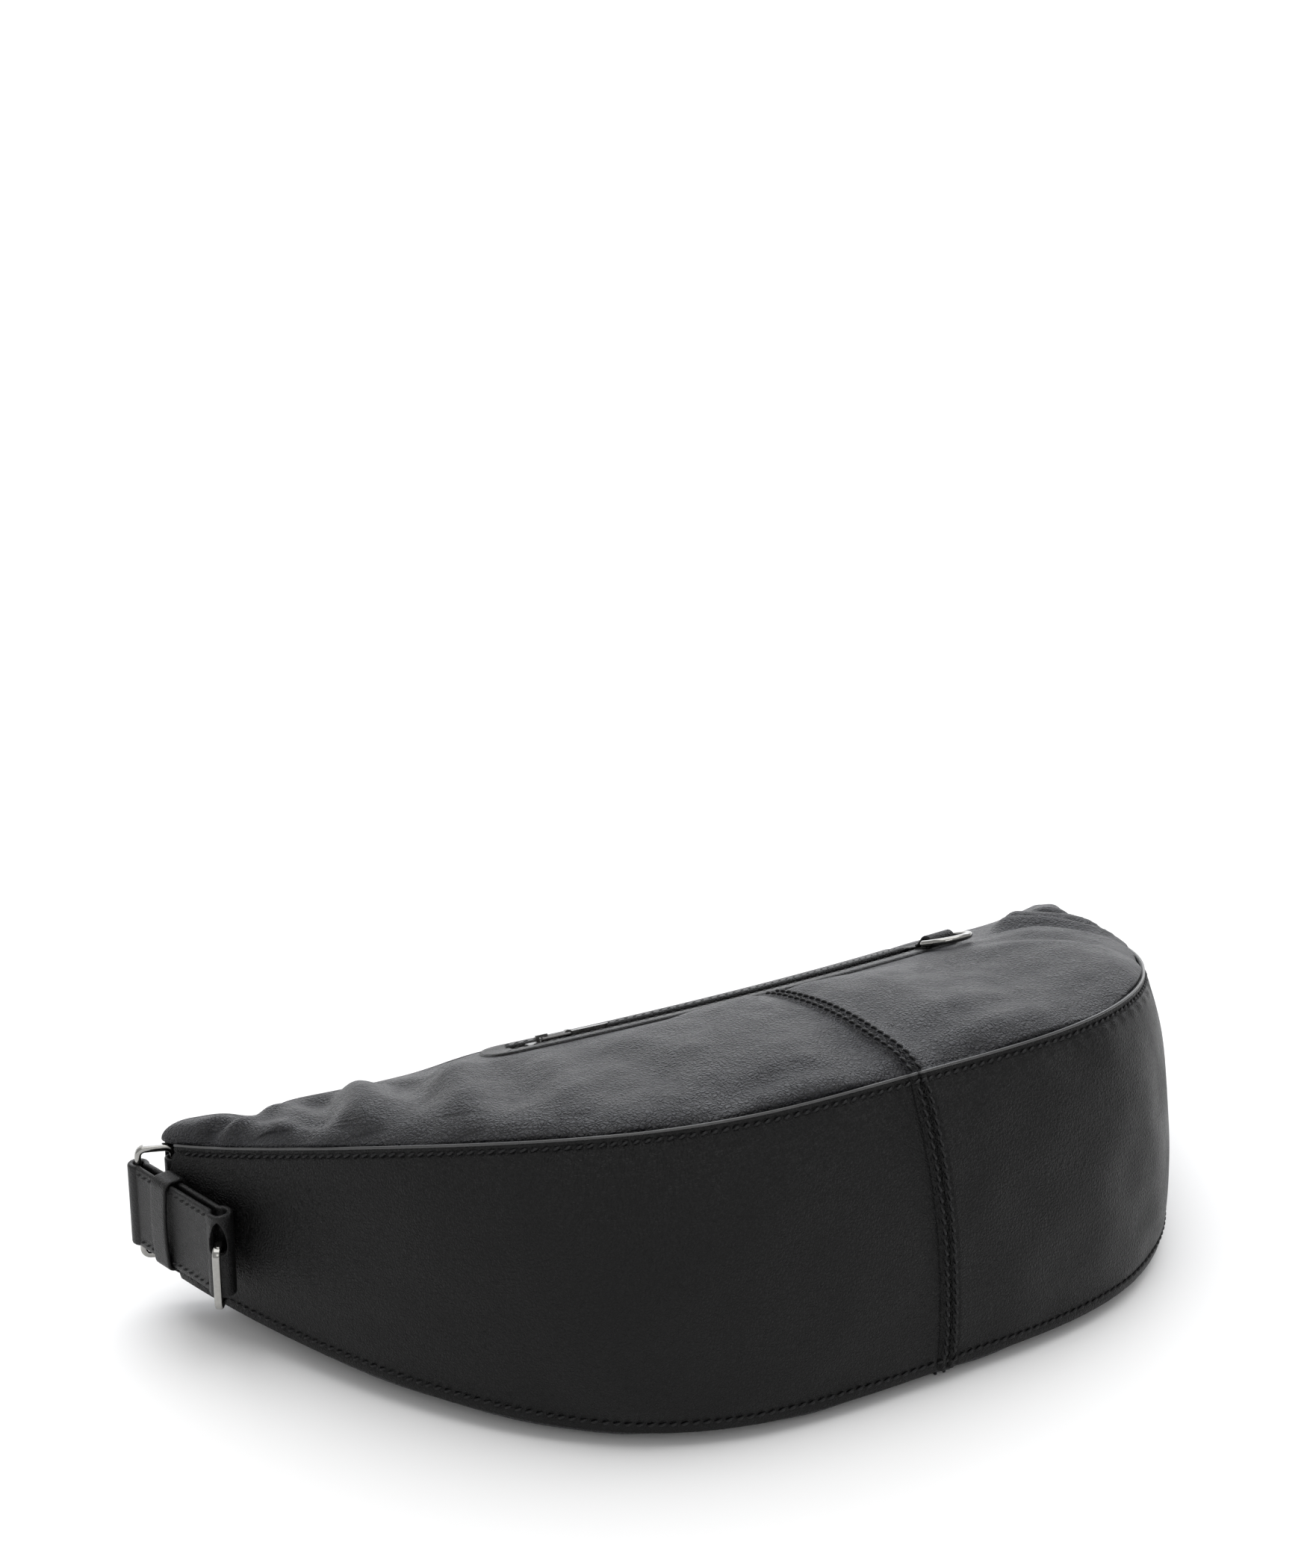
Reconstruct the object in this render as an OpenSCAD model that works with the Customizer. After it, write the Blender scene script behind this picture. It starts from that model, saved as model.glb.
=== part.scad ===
// Half-moon hobo bag in leather, lying on its back panel.
// +X runs along the zip, -Y points out through the bottom gusset, +Z is up off the surface.
// Every wall of the bag follows one closed cross-section, which changes with the place along the bag.

/* [Bag] */
// Length from tip to tip
bag_len = 460; // [380:1:560]
// Depth from the line between the tips to the bottom edge
bag_depth = 220; // [180:1:270]
// Height of the bottom gusset at its middle
gusset_h = 114; // [95:1:140]
// Height of the gusset at each tip
tip_h = 55; // [52:1:64]
// How far the gusset leans in towards the front panel at its middle
gusset_lean = 23.5; // [10:0.5:30]
// How far the gusset bulges outwards at half its height
gusset_bulge = 5; // [2:0.5:8]
// Height of the gusset's lower edge over the surface at its middle
lip_z = 7; // [5:0.5:10]

/* [Leather and lining] */
// Thickness of the panel leather
leather_t = 1.6; // [1.2:0.1:2.2]
// Thickness of the board that stiffens the gusset
board_t = 1.2; // [0.8:0.1:2]
// Thickness of the lining
lining_t = 0.8; // [0.6:0.1:1.2]

/* [Zip] */
// Length of the zip window
zip_len = 214; // [180:1:240]
// How far the middle of the zip window sits to the right of the bag's middle
zip_shift = 4; // [-10:1:10]
// Radius of the curved top edge
top_r = 360; // [320:1:440]
// Tilt of the top band, down and away
top_tilt = 21; // [15:1:26]
// Height of the middle of the top band
top_z = 109; // [95:1:125]
// Width of the top band, both facings and the tape between them
band_w = 40; // [36:1:46]
// Width of the open strip between the facings
window_w = 18; // [16:1:22]
// Width of one zip tape
tape_w = 10.2; // [9:0.1:12]
// Distance between two teeth of one row
tooth_pitch = 2.8; // [2.6:0.1:3.2]
// Length of the slider
slider_len = 13; // [11:0.5:15]

/* [Rings and strap] */
// Wire diameter of the end rings
ring_wire = 3.6; // [3:0.1:4.4]
// Width of the strap
strap_w = 35.5; // [30:0.5:42]
// Play of the strap in its ring, above and below together
strap_play = 8; // [4:1:10]
// Distance between the two upright bars of an end ring
ring_reach = 14; // [13:0.5:16]
// Thickness of one layer of the short buckle tab
tab_t = 2.6; // [2:0.1:3]
// Thickness of one layer of the long strap
strap_t = 2.2; // [1.6:0.1:2.4]
// Length of the short buckle tab, bar to bar
tab_len = 57; // [50:1:64]
// Length of the keeper along the strap
keeper_w = 10; // [8:0.5:13]
// Wire diameter of the D-ring
d_wire = 3; // [2.6:0.1:3.4]
// Length of the D-ring's straight bar between its corners
d_bar = 20; // [18:0.5:24]
// Length of the straight run of strap behind the bag
strap_run = 330; // [250:1:360]

/* [Inside pocket] */
// Length of the inside pocket
pocket_len = 150; // [120:1:170]
// Depth of the inside pocket
pocket_depth = 80; // [60:1:90]

/* [Hidden] */

$fn = 48;
fit = 0.1;                       // radial play of a pin or bar in its loop
gap = 0.3;                       // play between moving faces that are not a fit
half_len = bag_len / 2;
tip_q = 0.9915;                  // the panels stop here, just short of the very tip
out_n = 3.5;                     // roundness of the bottom edge, seen from above
out_k = 1.16;
tip_lip = 15;                    // height of the gusset's lower edge at the tips
back_rise = 13;                  // how far the back panel lifts at the tips
band_tip_y = 2.0311;             // the top band ends this far behind the line between the tips
// place of the top band's middle, measured from the tips' line, tied to the bag's length
mid_y = band_tip_y - (top_r - sqrt(pow(top_r, 2) - pow(half_len * tip_q, 2))) * cos(top_tilt);
origin_x = -0.9;                 // the whole stands this far to the right of the bag's middle
origin_y = 77.7;                 // the tips' line stands this far behind the middle of the whole
half_band = band_w / 2;
half_window = window_w / 2;
strip_min = 1.5;                 // half width of the closed top strip beyond the zip
strip_run = 65;                  // the band narrows to that over this length
phi_left = asin((zip_shift - zip_len / 2) / top_r);
phi_right = asin((zip_shift + zip_len / 2) / top_r);

// ---------------------------------------------------------------- the bag's cross-section
function unit(v) = v / norm(v);
function mix(a, b, t) = a * (1 - t) + b * t;
function clamp(v, low, high) = min(max(v, low), high);
function smooth(t) = let(s = clamp(t, 0, 1)) s * s * (3 - 2 * s);
function bezier(p, t) = mix(mix(mix(p[0], p[1], t), mix(p[1], p[2], t), t),
                            mix(mix(p[1], p[2], t), mix(p[2], p[3], t), t), t);

// bottom edge seen from above, q from -1 at the left tip to 1 at the right tip
function edge_y(q) = -bag_depth * pow(1 - pow(abs(q), out_n), 1 / out_k);
function edge(q) = [half_len * q, edge_y(q)];
function outward(q) = let(t = edge(q + 0.004) - edge(q - 0.004)) [t[1], -t[0], 0] / norm(t);
function lip(q) = lip_z + (tip_lip - lip_z) * pow(abs(q), 4);
function rise(q) = back_rise * pow(max(abs(q) - 0.35, 0) / 0.65, 6);
function height(q) = tip_h + (gusset_h - tip_h) * (1 - pow(abs(q), 5.2));
function lean(q) = gusset_lean * (1 - pow(abs(q), 2.6));

// a point of the tilted top band: angle along its arc, distance out from the arc, height over the band
function in_band(phi, r, up = 0) =
    let(x = (top_r + r) * sin(phi), v = top_r - (top_r + r) * cos(phi))
    [x, mid_y + v * cos(top_tilt) + up * sin(top_tilt),
        top_z - v * sin(top_tilt) + up * cos(top_tilt)];
function phi_of(q) = asin(half_len * q / top_r);
function band_half(q) =
    let(past = max(abs(half_len * q - zip_shift) - zip_len / 2, 0))
    mix(half_band, strip_min, smooth(past / strip_run));
function depth_at(q) = in_band(phi_of(q), 0)[1] - edge_y(q);

function gusset_low(q) = [half_len * q, edge_y(q), lip(q)];
function gusset_top(q) = gusset_low(q) - lean(q) * outward(q) + [0, 0, height(q)];
function gusset_pt(q, t) = let(n = outward(q), h = height(q), low = gusset_low(q), top = gusset_top(q))
    bezier([low, low + gusset_bulge * n + [0, 0, 0.36 * h],
        top + (0.45 * lean(q) + gusset_bulge) * n - [0, 0, 0.22 * h], top], t);
function front_pt(q, t) = let(n = outward(q), d = depth_at(q), w = band_half(q), top = gusset_top(q))
    bezier([top, top - 0.1 * d * n + [0, 0, 0.09 * d],
        in_band(phi_of(q), w + 0.24 * d), in_band(phi_of(q), w)], t);
function back_foot(q) = [half_len * q, in_band(phi_of(q), 0)[1] - 0.08 * depth_at(q), rise(q)];
function back_far_pt(q, t) = let(d = depth_at(q), w = band_half(q), foot = back_foot(q))
    bezier([in_band(phi_of(q), -w), in_band(phi_of(q), -w - 0.14 * d),
        foot + [0, 0.32 * d, 0], foot], t);
function back_low_pt(q, t) =
    let(n = outward(q), low = gusset_low(q), roll = min(24, 0.3 * depth_at(q)),
        start = [low[0], low[1], rise(q)] - roll * n, s = (t - 0.6) / 0.4 * 90)
    t < 0.6 ? mix(back_foot(q), start, t / 0.6)
            : start + roll * sin(s) * n + [0, 0, (low[2] - rise(q)) * (1 - cos(s))];
function back_pt(q, t) = t < 0.5 ? back_far_pt(q, 2 * t) : back_low_pt(q, 2 * t - 1);

// a block well inside the bag; every wall gets its thickness towards the nearest point of it
core_end = half_len - 48;
function core(p) =
    let(x = clamp(p[0], -core_end, core_end), q = x / half_len, d = depth_at(q), h = lip(q) + height(q))
    [x, clamp(p[1], edge_y(q) + 0.33 * d, edge_y(q) + 0.9 * d), clamp(p[2], 0.32 * h, 0.68 * h)];
function inset(p, depth) = p + depth * unit(core(p) - p);

// ---------------------------------------------------------------- walls as closed shells
// outer and inner are grids of points, one row for each place along the bag
module shell(outer, inner) {
    nu = len(outer);
    nv = len(outer[0]);
    k = nu * nv;
    points = [for (g = [outer, inner]) for (row = g) for (p = row) p];
    function id(i, j) = i * nv + j;
    faces = [
        for (i = [0:nu - 2]) for (j = [0:nv - 2]) each [
            [id(i, j), id(i, j + 1), id(i + 1, j + 1)],
            [id(i, j), id(i + 1, j + 1), id(i + 1, j)],
            [k + id(i, j), k + id(i + 1, j + 1), k + id(i, j + 1)],
            [k + id(i, j), k + id(i + 1, j), k + id(i + 1, j + 1)]],
        for (j = [0:nv - 2]) each [
            [id(0, j + 1), id(0, j), k + id(0, j + 1)],
            [id(0, j), k + id(0, j), k + id(0, j + 1)],
            [id(nu - 1, j), id(nu - 1, j + 1), k + id(nu - 1, j + 1)],
            [id(nu - 1, j), k + id(nu - 1, j + 1), k + id(nu - 1, j)]],
        for (i = [0:nu - 2]) each [
            [id(i, 0), id(i + 1, 0), k + id(i + 1, 0)],
            [id(i, 0), k + id(i + 1, 0), k + id(i, 0)],
            [id(i + 1, nv - 1), id(i, nv - 1), k + id(i + 1, nv - 1)],
            [id(i, nv - 1), k + id(i, nv - 1), k + id(i + 1, nv - 1)]]];
    translate([origin_x, origin_y, 0]) polyhedron(points, faces);
}

// places along the bag: tips, ends of the narrowing strip, ends of the zip window and the middle
q_zip = [(zip_shift - zip_len / 2) / half_len, (zip_shift + zip_len / 2) / half_len];
q_strip = [q_zip[0] - strip_run / half_len, q_zip[1] + strip_run / half_len];
function steps(a, b, n) = [for (i = [0:n - 1]) mix(a, b, i / n)];
function tip_steps(a, b, n) = [for (i = [0:n - 1]) mix(a, b, 1 - cos(90 * i / n))];
function reversed(v) = [for (i = [len(v) - 1:-1:0]) v[i]];
q_left_tip = concat(tip_steps(-tip_q, q_strip[0], 5), steps(q_strip[0], q_zip[0], 3), [q_zip[0]]);
q_right_tip = concat([q_zip[1]], reversed(concat(tip_steps(tip_q, q_strip[1], 5),
    steps(q_strip[1], q_zip[1], 3))));
q_left = concat(q_left_tip, steps(q_zip[0], 0, 5), [0]);
q_left_all = [for (i = [0:len(q_left) - 1]) if (i != 9) q_left[i]];
q_right = concat([0], [for (i = [1:4]) mix(0, q_zip[1], i / 5)], q_right_tip);
q_window = concat([for (i = [0:4]) mix(q_zip[0], 0, i / 5)], [0],
    [for (i = [1:5]) mix(0, q_zip[1], i / 5)]);
q_all = concat(q_left_all, [for (i = [1:len(q_right) - 1]) q_right[i]]);

module wall(qs, kind, from, to, rows) {
    surface = [for (q = qs) [for (j = [0:rows]) let(t = j / rows)
        kind == "gusset" ? gusset_pt(q, t) : kind == "front" ? front_pt(q, t) : back_pt(q, t)]];
    shell([for (row = surface) [for (p = row) inset(p, from)]],
        [for (row = surface) [for (p = row) inset(p, to)]]);
}
module band_wall(qs, edges, rows) {
    surface = [for (q = qs) [for (j = [0:rows])
        in_band(phi_of(q), mix(edges(q)[0], edges(q)[1], j / rows))]];
    shell(surface, [for (row = surface) [for (p = row) inset(p, leather_t)]]);
}
gusset_rows = 6;
front_rows = 7;
back_rows = 12;

module front_panel_left() color([0.13, 0.13, 0.15]) wall(q_left_all, "front", 0, leather_t, front_rows);
module front_panel_right() color([0.15, 0.15, 0.17]) wall(q_right, "front", 0, leather_t, front_rows);
module back_panel_left() color([0.12, 0.12, 0.13]) wall(q_left_all, "back", 0, leather_t, back_rows);
module back_panel_right() color([0.14, 0.14, 0.15]) wall(q_right, "back", 0, leather_t, back_rows);
module gusset_left() color([0.1, 0.1, 0.1]) wall(q_left_all, "gusset", 0, leather_t, gusset_rows);
module gusset_right() color([0.12, 0.12, 0.12]) wall(q_right, "gusset", 0, leather_t, gusset_rows);
inner_all = [for (i = [2:len(q_all) - 3]) q_all[i]];
module gusset_board() color([0.5, 0.4, 0.28])
    wall(inner_all, "gusset", leather_t, leather_t + board_t, gusset_rows);
module gusset_lining() color([0.35, 0.33, 0.3])
    wall(inner_all, "gusset", leather_t + board_t, leather_t + board_t + lining_t, gusset_rows);
module front_lining() color([0.38, 0.36, 0.33])
    wall(inner_all, "front", leather_t, leather_t + lining_t, front_rows);
module back_lining() color([0.36, 0.34, 0.31])
    wall(inner_all, "back", leather_t, leather_t + lining_t, back_rows);
module zip_facing_front() color([0.2, 0.2, 0.2])
    band_wall(q_window, function(q) [half_band, half_window], 2);
module zip_facing_back() color([0.22, 0.22, 0.22])
    band_wall(q_window, function(q) [-half_window, -half_band], 2);
module zip_end_facing_left() color([0.18, 0.18, 0.18])
    band_wall(q_left_tip, function(q) [band_half(q), -band_half(q)], 4);
module zip_end_facing_right() color([0.18, 0.18, 0.18])
    band_wall(q_right_tip, function(q) [band_half(q), -band_half(q)], 4);

// ---------------------------------------------------------------- zip
// children lie in the band's own plane: +x along the arc, +y towards its centre, +z off the band
module on_band(phi, r = 0) {
    translate([origin_x, origin_y + mid_y, top_z]) rotate([-top_tilt, 0, 0]) translate([0, top_r, 0])
        rotate([0, 0, phi]) translate([0, -top_r - r, 0]) children();
}
// a strip that follows the band's arc, between two distances out from it and two heights
module arc_strip(phi0, phi1, r0, r1, z0, z1) {
    translate([origin_x, origin_y + mid_y, top_z]) rotate([-top_tilt, 0, 0]) translate([0, top_r, 0])
        rotate([0, 0, phi0 - 90]) rotate_extrude(angle = phi1 - phi0, $fn = 360)
            translate([top_r + r0, z0]) square([r1 - r0, z1 - z0]);
}
tape_top = -leather_t - 0.02;
tape_t = 0.7;
tooth_in = 0.45;                 // the two rows stand this far off the middle line
tooth_out = half_window + 4 - tape_w;
tooth_w = 1.1;
tooth_z = [tape_top - tape_t - 0.8, tape_top + 0.7];
tape_over = 6;                   // the tape runs this far past each end of the window
past = tape_over / top_r * 180 / PI;
module tape(side) {
    r = [tooth_out, tooth_out + tape_w];
    arc_strip(phi_left - past, phi_right + past, side > 0 ? r[0] : -r[1], side > 0 ? r[1] : -r[0],
        tape_top - tape_t, tape_top);
}
module teeth(side) {
    pitch = tooth_pitch / top_r * 180 / PI;
    start = phi_left + 1.4;
    count = floor((phi_right - 2.6 - start) / pitch);
    for (i = [0:count - 1]) on_band(start + (i + (side > 0 ? 0 : 0.5)) * pitch)
        translate([-tooth_w / 2, side > 0 ? -tooth_out : tooth_in, tooth_z[0]])
            cube([tooth_w, tooth_out - tooth_in, tooth_z[1] - tooth_z[0]]);
}
module zip_tape_front() color([0.06, 0.06, 0.06]) tape(1);
module zip_tape_back() color([0.06, 0.06, 0.06]) tape(-1);
module zip_teeth_front() color([0.55, 0.55, 0.57]) teeth(1);
module zip_teeth_back() color([0.55, 0.55, 0.57]) teeth(-1);
module zip_stops() color([0.6, 0.6, 0.62]) {
    h = tooth_z[1] - tooth_z[0];
    for (s = [-1, 1]) on_band(phi_left + 0.5) translate([-1, s > 0 ? tooth_in : -tooth_out, tooth_z[0]])
        cube([2, tooth_out - tooth_in, h]);
    on_band(phi_right - 1.1) translate([-1.5, -tooth_out, tooth_z[0]]) cube([3, 2 * tooth_out, h]);
}

slider_w = 9.2;
plate_t = 1.2;
slider_phi = phi_left + 2.35;
plate_z = tooth_z[1] + gap;      // underside of the slider's upper plate
link_wire = 1.6;
pin_z = plate_z + plate_t + link_wire / 2 + fit;
crown_wall = 1;
crown_w = 2;
crown_len = 5;
link_len = 11;
link_w = 6.4;
module zip_slider() color([0.7, 0.7, 0.72]) on_band(slider_phi) {
    low = tooth_z[0] - gap;
    for (z = [plate_z, low - plate_t]) translate([0, 0, z]) linear_extrude(plate_t) intersection() {
        square([slider_len, slider_w], center = true);
        circle(r = slider_len * 0.58);
    }
    // flanges above the tape, and the thin bridge that runs in the slit between the teeth
    flange = [slider_len - 5, 1.1];
    for (s = [-1, 1]) translate([-flange[0] / 2, s > 0 ? slider_w / 2 - 1.1 : -slider_w / 2, tape_top + gap])
        cube([flange[0], flange[1], plate_z - tape_top - gap + 0.1]);
    translate([-slider_len / 2 + 0.4, -0.2, low - 0.1]) cube([2, 0.4, plate_z - low + 0.2]);
    // crown over the pull's pin
    top = plate_z + plate_t;
    crown_h = link_wire + 2 * fit;
    translate([0, -crown_w / 2, top - 0.01]) difference() {
        translate([-crown_len / 2, 0, 0]) cube([crown_len, crown_w, crown_h + crown_wall]);
        translate([-link_wire / 2 - fit - 0.2, -1, 0.01])
            cube([link_wire + 2 * fit + 0.4, crown_w + 2, crown_h]);
    }
}
module zip_pull_link() color([0.7, 0.7, 0.72]) on_band(slider_phi) translate([0, 0, pin_z]) {
    for (x = [0, link_len]) translate([x, link_w / 2, 0]) rotate([90, 0, 0])
        cylinder(h = link_w, d = link_wire);
    for (s = [-1, 1]) translate([0, s * link_w / 2, 0]) {
        rotate([0, 90, 0]) cylinder(h = link_len, d = link_wire);
        for (x = [0, link_len]) translate([x, 0, 0]) sphere(d = link_wire);
    }
}
bar_len = 16;
bar_w = 5;
bar_t = 1.8;
eye_w = 3.4;
module zip_pull_bar() color([0.2, 0.2, 0.21]) on_band(slider_phi) translate([link_len, 0, pin_z])
    difference() {
        union() {
            translate([0, eye_w / 2, 0]) rotate([90, 0, 0]) cylinder(h = eye_w, d = link_wire + 2 * fit + 1.6);
            translate([0, -eye_w / 2, -bar_t / 2]) cube([3.5, eye_w, bar_t]);
            translate([link_wire / 2 + 0.6, -bar_w / 2, -bar_t / 2]) cube([bar_len - 2.5, bar_w, bar_t]);
            translate([link_wire / 2 + 0.6 + bar_len - 2.5, 0, -bar_t / 2]) cylinder(h = bar_t, d = bar_w);
        }
        translate([0, eye_w, 0]) rotate([90, 0, 0]) cylinder(h = 2 * eye_w, d = link_wire + 2 * fit);
        for (s = [-1, 1]) translate([-2, s > 0 ? eye_w / 2 : -link_w / 2 - 1, -2])
            cube([2 + link_wire / 2 + fit + 0.4, (link_w - eye_w) / 2 + 1, 4]);
    }

// ---------------------------------------------------------------- D-ring beside the zip
d_phi = asin(100 / top_r);
d_r = 16;                        // how far in front of the zip the D-ring's bar lies
d_z = d_wire / 2 + fit + leather_t + 0.05;
d_arm = 5;
module d_ring() color([0.75, 0.75, 0.77]) on_band(d_phi, d_r) translate([0, 0, d_z]) {
    translate([-d_bar / 2, 0, 0]) rotate([0, 90, 0]) cylinder(h = d_bar, d = d_wire);
    for (s = [-1, 1]) translate([s * d_bar / 2, 0, 0]) {
        sphere(d = d_wire);
        rotate([90, 0, 0]) cylinder(h = d_arm, d = d_wire);
    }
    translate([0, -d_arm, 0]) rotate([0, 0, 180]) rotate_extrude(angle = 180)
        translate([d_bar / 2, 0]) circle(d = d_wire, $fn = 24);
}
module d_ring_tab() color([0.12, 0.12, 0.12]) on_band(d_phi, d_r) {
    long = d_bar - d_wire - 1;
    outer = d_wire / 2 + fit + leather_t;
    difference() {
        union() {
            translate([-long / 2, 0, d_z]) rotate([0, 90, 0]) cylinder(h = long, r = outer);
            translate([-long / 2, 0, 0.05]) cube([long, d_r - half_window - 0.4, 2 * leather_t]);
        }
        translate([-long, 0, d_z]) rotate([0, 90, 0]) cylinder(h = 2 * long, r = d_wire / 2 + fit);
    }
}

// ---------------------------------------------------------------- end rings and their loops
ring_r = ring_wire / 2;
ring_z = 46.2;                   // middle height of the rings and of the strap where it meets them
ring_h = strap_w + strap_play + ring_wire;
ring_in = [half_len - 3.5, -4.3];   // inner upright bar, held in the tip of the bag
ring_turn = 21;                  // the ring points this far back from the line between the tips
ring_out = ring_in + ring_reach * [cos(ring_turn), sin(ring_turn)];
corner_r = 2.6;
// a rounded rectangular ring of wire: one upright bar on the z axis, the other at +x
module wire_ring(reach, tall, wire) {
    straight = tall - 2 * corner_r;
    for (x = [0, reach]) translate([x, 0, -straight / 2]) cylinder(h = straight, d = wire);
    for (s = [-1, 1]) translate([corner_r, 0, s * tall / 2]) rotate([0, 90, 0])
        cylinder(h = reach - 2 * corner_r, d = wire);
    for (sx = [0, 1]) for (sz = [-1, 1])
        translate([sx == 0 ? corner_r : reach - corner_r, 0, sz * (tall / 2 - corner_r)])
            rotate([90, 0, 0]) rotate([0, 0, sx == 0 ? (sz > 0 ? 90 : 180) : (sz > 0 ? 0 : -90)])
                rotate_extrude(angle = 90) translate([corner_r, 0]) circle(d = wire, $fn = 24);
}
module at_ring(side) translate([origin_x + side * ring_in[0], origin_y + ring_in[1], ring_z])
    rotate([0, 0, side > 0 ? ring_turn : 180 - ring_turn]) children();
module end_ring_left() color([0.75, 0.75, 0.77]) at_ring(-1) wire_ring(ring_reach, ring_h, ring_wire);
module end_ring_right() color([0.75, 0.75, 0.77]) at_ring(1) wire_ring(ring_reach, ring_h, ring_wire);
// leather loop round the inner bar, with its two ends sewn inside the tip of the bag
loop_t = 1.8;
loop_h = ring_h - ring_wire - 2 * corner_r;
tail_len = 14;
tail_turn = 137;
module ring_tab(side) at_ring(side) translate([0, 0, -loop_h / 2]) linear_extrude(loop_h) difference() {
    union() {
        circle(r = ring_r + fit + loop_t);
        rotate([0, 0, side > 0 ? -tail_turn - ring_turn : tail_turn + ring_turn])
            translate([0, -0.9 * loop_t]) square([tail_len, 1.8 * loop_t]);
    }
    circle(r = ring_r + fit);
}
module ring_tab_left() color([0.1, 0.1, 0.1]) ring_tab(-1);
module ring_tab_right() color([0.1, 0.1, 0.1]) ring_tab(1);

// ---------------------------------------------------------------- short buckle tab at the left end
tab_from = [-ring_out[0], ring_out[1]];
tab_turn = -79;                  // the tab lies back along the gusset's end
tab_wrap = ring_r + fit;         // inner radius of the fold round the end ring
fold_r = 2.8;                    // inner radius of the fold that holds the buckle ring
tab_slit = 0.9;                  // half the gap between the two layers
bring_wire = 3;                  // wire of the buckle ring
bring_h = 27.5;
bring_reach = 10;
strap_low = ring_z - strap_w / 2;
slot_z = [strap_low + 19, strap_low + strap_w - 2.5];
bring_low = strap_low - gap - bring_wire / 2;
bring_face = 45;                 // the buckle ring points this far out from the tab's end
slot_open = 48;                  // the slot reaches this far to each side of the buckle ring
module on_tab() translate([origin_x + tab_from[0], origin_y + tab_from[1], 0]) rotate([0, 0, tab_turn]) children();
module buckle_tab() color([0.1, 0.1, 0.1]) on_tab() difference() {
    translate([0, 0, strap_low]) linear_extrude(strap_w) difference() {
        union() {
            circle(r = tab_wrap + tab_t);
            translate([tab_len, 0]) circle(r = fold_r + tab_t);
            translate([0, -tab_slit - tab_t]) square([tab_len, 2 * (tab_slit + tab_t)]);
        }
        circle(r = tab_wrap);
        translate([tab_len, 0]) circle(r = fold_r);
        translate([0, -tab_slit]) square([tab_len, 2 * tab_slit]);
    }
    // teardrop slot that lets the buckle ring's upper arm through the fold
    translate([tab_len, 0, slot_z[0]]) linear_extrude(slot_z[1] - slot_z[0]) polygon(concat([[0, 0]],
        [for (i = [0:8]) let(a = -bring_face - slot_open + i * slot_open / 4) 12 * [cos(a), sin(a)]]));
}
module buckle_ring() color([0.75, 0.75, 0.77]) on_tab()
    translate([tab_len, 0, bring_low + (bring_h - bring_wire) / 2]) rotate([0, 0, -bring_face])
        wire_ring(bring_reach, bring_h - bring_wire, bring_wire);
keeper_x = 17;
keeper_t = 1.5;
module strap_keeper() color([0.1, 0.1, 0.1]) on_tab() {
    half = tab_slit + tab_t + gap;
    translate([keeper_x, 0, ring_z]) rotate([0, 90, 0]) linear_extrude(keeper_w) difference() {
        square([strap_w + 2 * gap + 2 * keeper_t, 2 * (half + keeper_t)], center = true);
        square([strap_w + 2 * gap, 2 * half], center = true);
    }
}

// ---------------------------------------------------------------- long strap, laid behind the bag
wrap = ring_r + fit + strap_t;   // radius of the strap's middle line in a fold round a bar
bend = 16;                       // the strap turns behind the bag on this radius
turn_r = 12;                     // and doubles back on this one
fold_len = 16;
end_x = ring_out[0] + wrap - bend - strap_run;
strap_end = end_x + 125;         // place of the bar in the snap hook's eye
floor_gap = 0.4;
eye_low = ring_wire + gap + 0.5; // the strap's edge stands this high at the hook's eye
function arc(c, r, a0, a1, n) = [for (i = [0:n]) let(a = mix(a0, a1, i / n)) c + r * [cos(a), sin(a)]];
// the sewn-down end of each fold lies against the strap, just short of touching it
strap_path = concat(
    [for (a = [60, 45, 30]) ring_out + [wrap - bend, 10] + (bend - 2 * strap_t - 0.2) * [cos(a), sin(a)]],
    [for (t = [0.7, 0.45, 0.2]) ring_out + [mix(-wrap, wrap - 2 * strap_t - 0.2, smooth(t)), t * fold_len]],
    arc(ring_out, wrap, 180, 360, 10),
    arc(ring_out + [wrap - bend, 10], bend, 0, 90, 8),
    [for (i = [1:7]) [mix(ring_out[0] + wrap - bend, end_x, i / 8), ring_out[1] + 10 + bend]],
    arc([end_x, ring_out[1] + 10 + bend + turn_r], turn_r, -90, -270, 12),
    [for (i = [1:3]) [mix(end_x, strap_end, i / 4), ring_out[1] + 10 + bend + 2 * turn_r]],
    arc([strap_end, ring_out[1] + 10 + bend + 2 * turn_r + wrap], wrap, -90, 90, 10),
    [for (t = [0.25, 0.5, 0.75, 1]) [strap_end - t * fold_len,
        ring_out[1] + 10 + bend + 2 * turn_r + mix(2 * wrap, 2 * strap_t + 0.2, smooth(t))]],
    [[strap_end - fold_len - 12, ring_out[1] + 10 + bend + 2 * turn_r + 2 * strap_t + 0.2]]);
eye_at = [strap_end, ring_out[1] + 10 + bend + 2 * turn_r + wrap];
function strap_dir(i) = let(n = len(strap_path) - 1)
    unit(strap_path[min(i + 1, n)] - strap_path[max(i - 1, 0)]);
function strap_edge(p) = p[1] < ring_out[1] + 10 + bend + turn_r
    ? mix(strap_low, floor_gap, smooth((ring_out[0] + wrap - 8 - p[0]) / 120))
    : mix(floor_gap, eye_low, smooth((p[0] - end_x) / 100));
module strap_layer(from, to) {
    function side(i, off) = let(d = strap_dir(i), p = strap_path[i]) p + off * [d[1], -d[0]];
    function column(i, off) = let(s = side(i, off), z = strap_edge(strap_path[i]))
        [[s[0], s[1], z], [s[0], s[1], z + strap_w]];
    shell([for (i = [0:len(strap_path) - 1]) column(i, to)],
        [for (i = [0:len(strap_path) - 1]) column(i, from)]);
}
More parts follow.
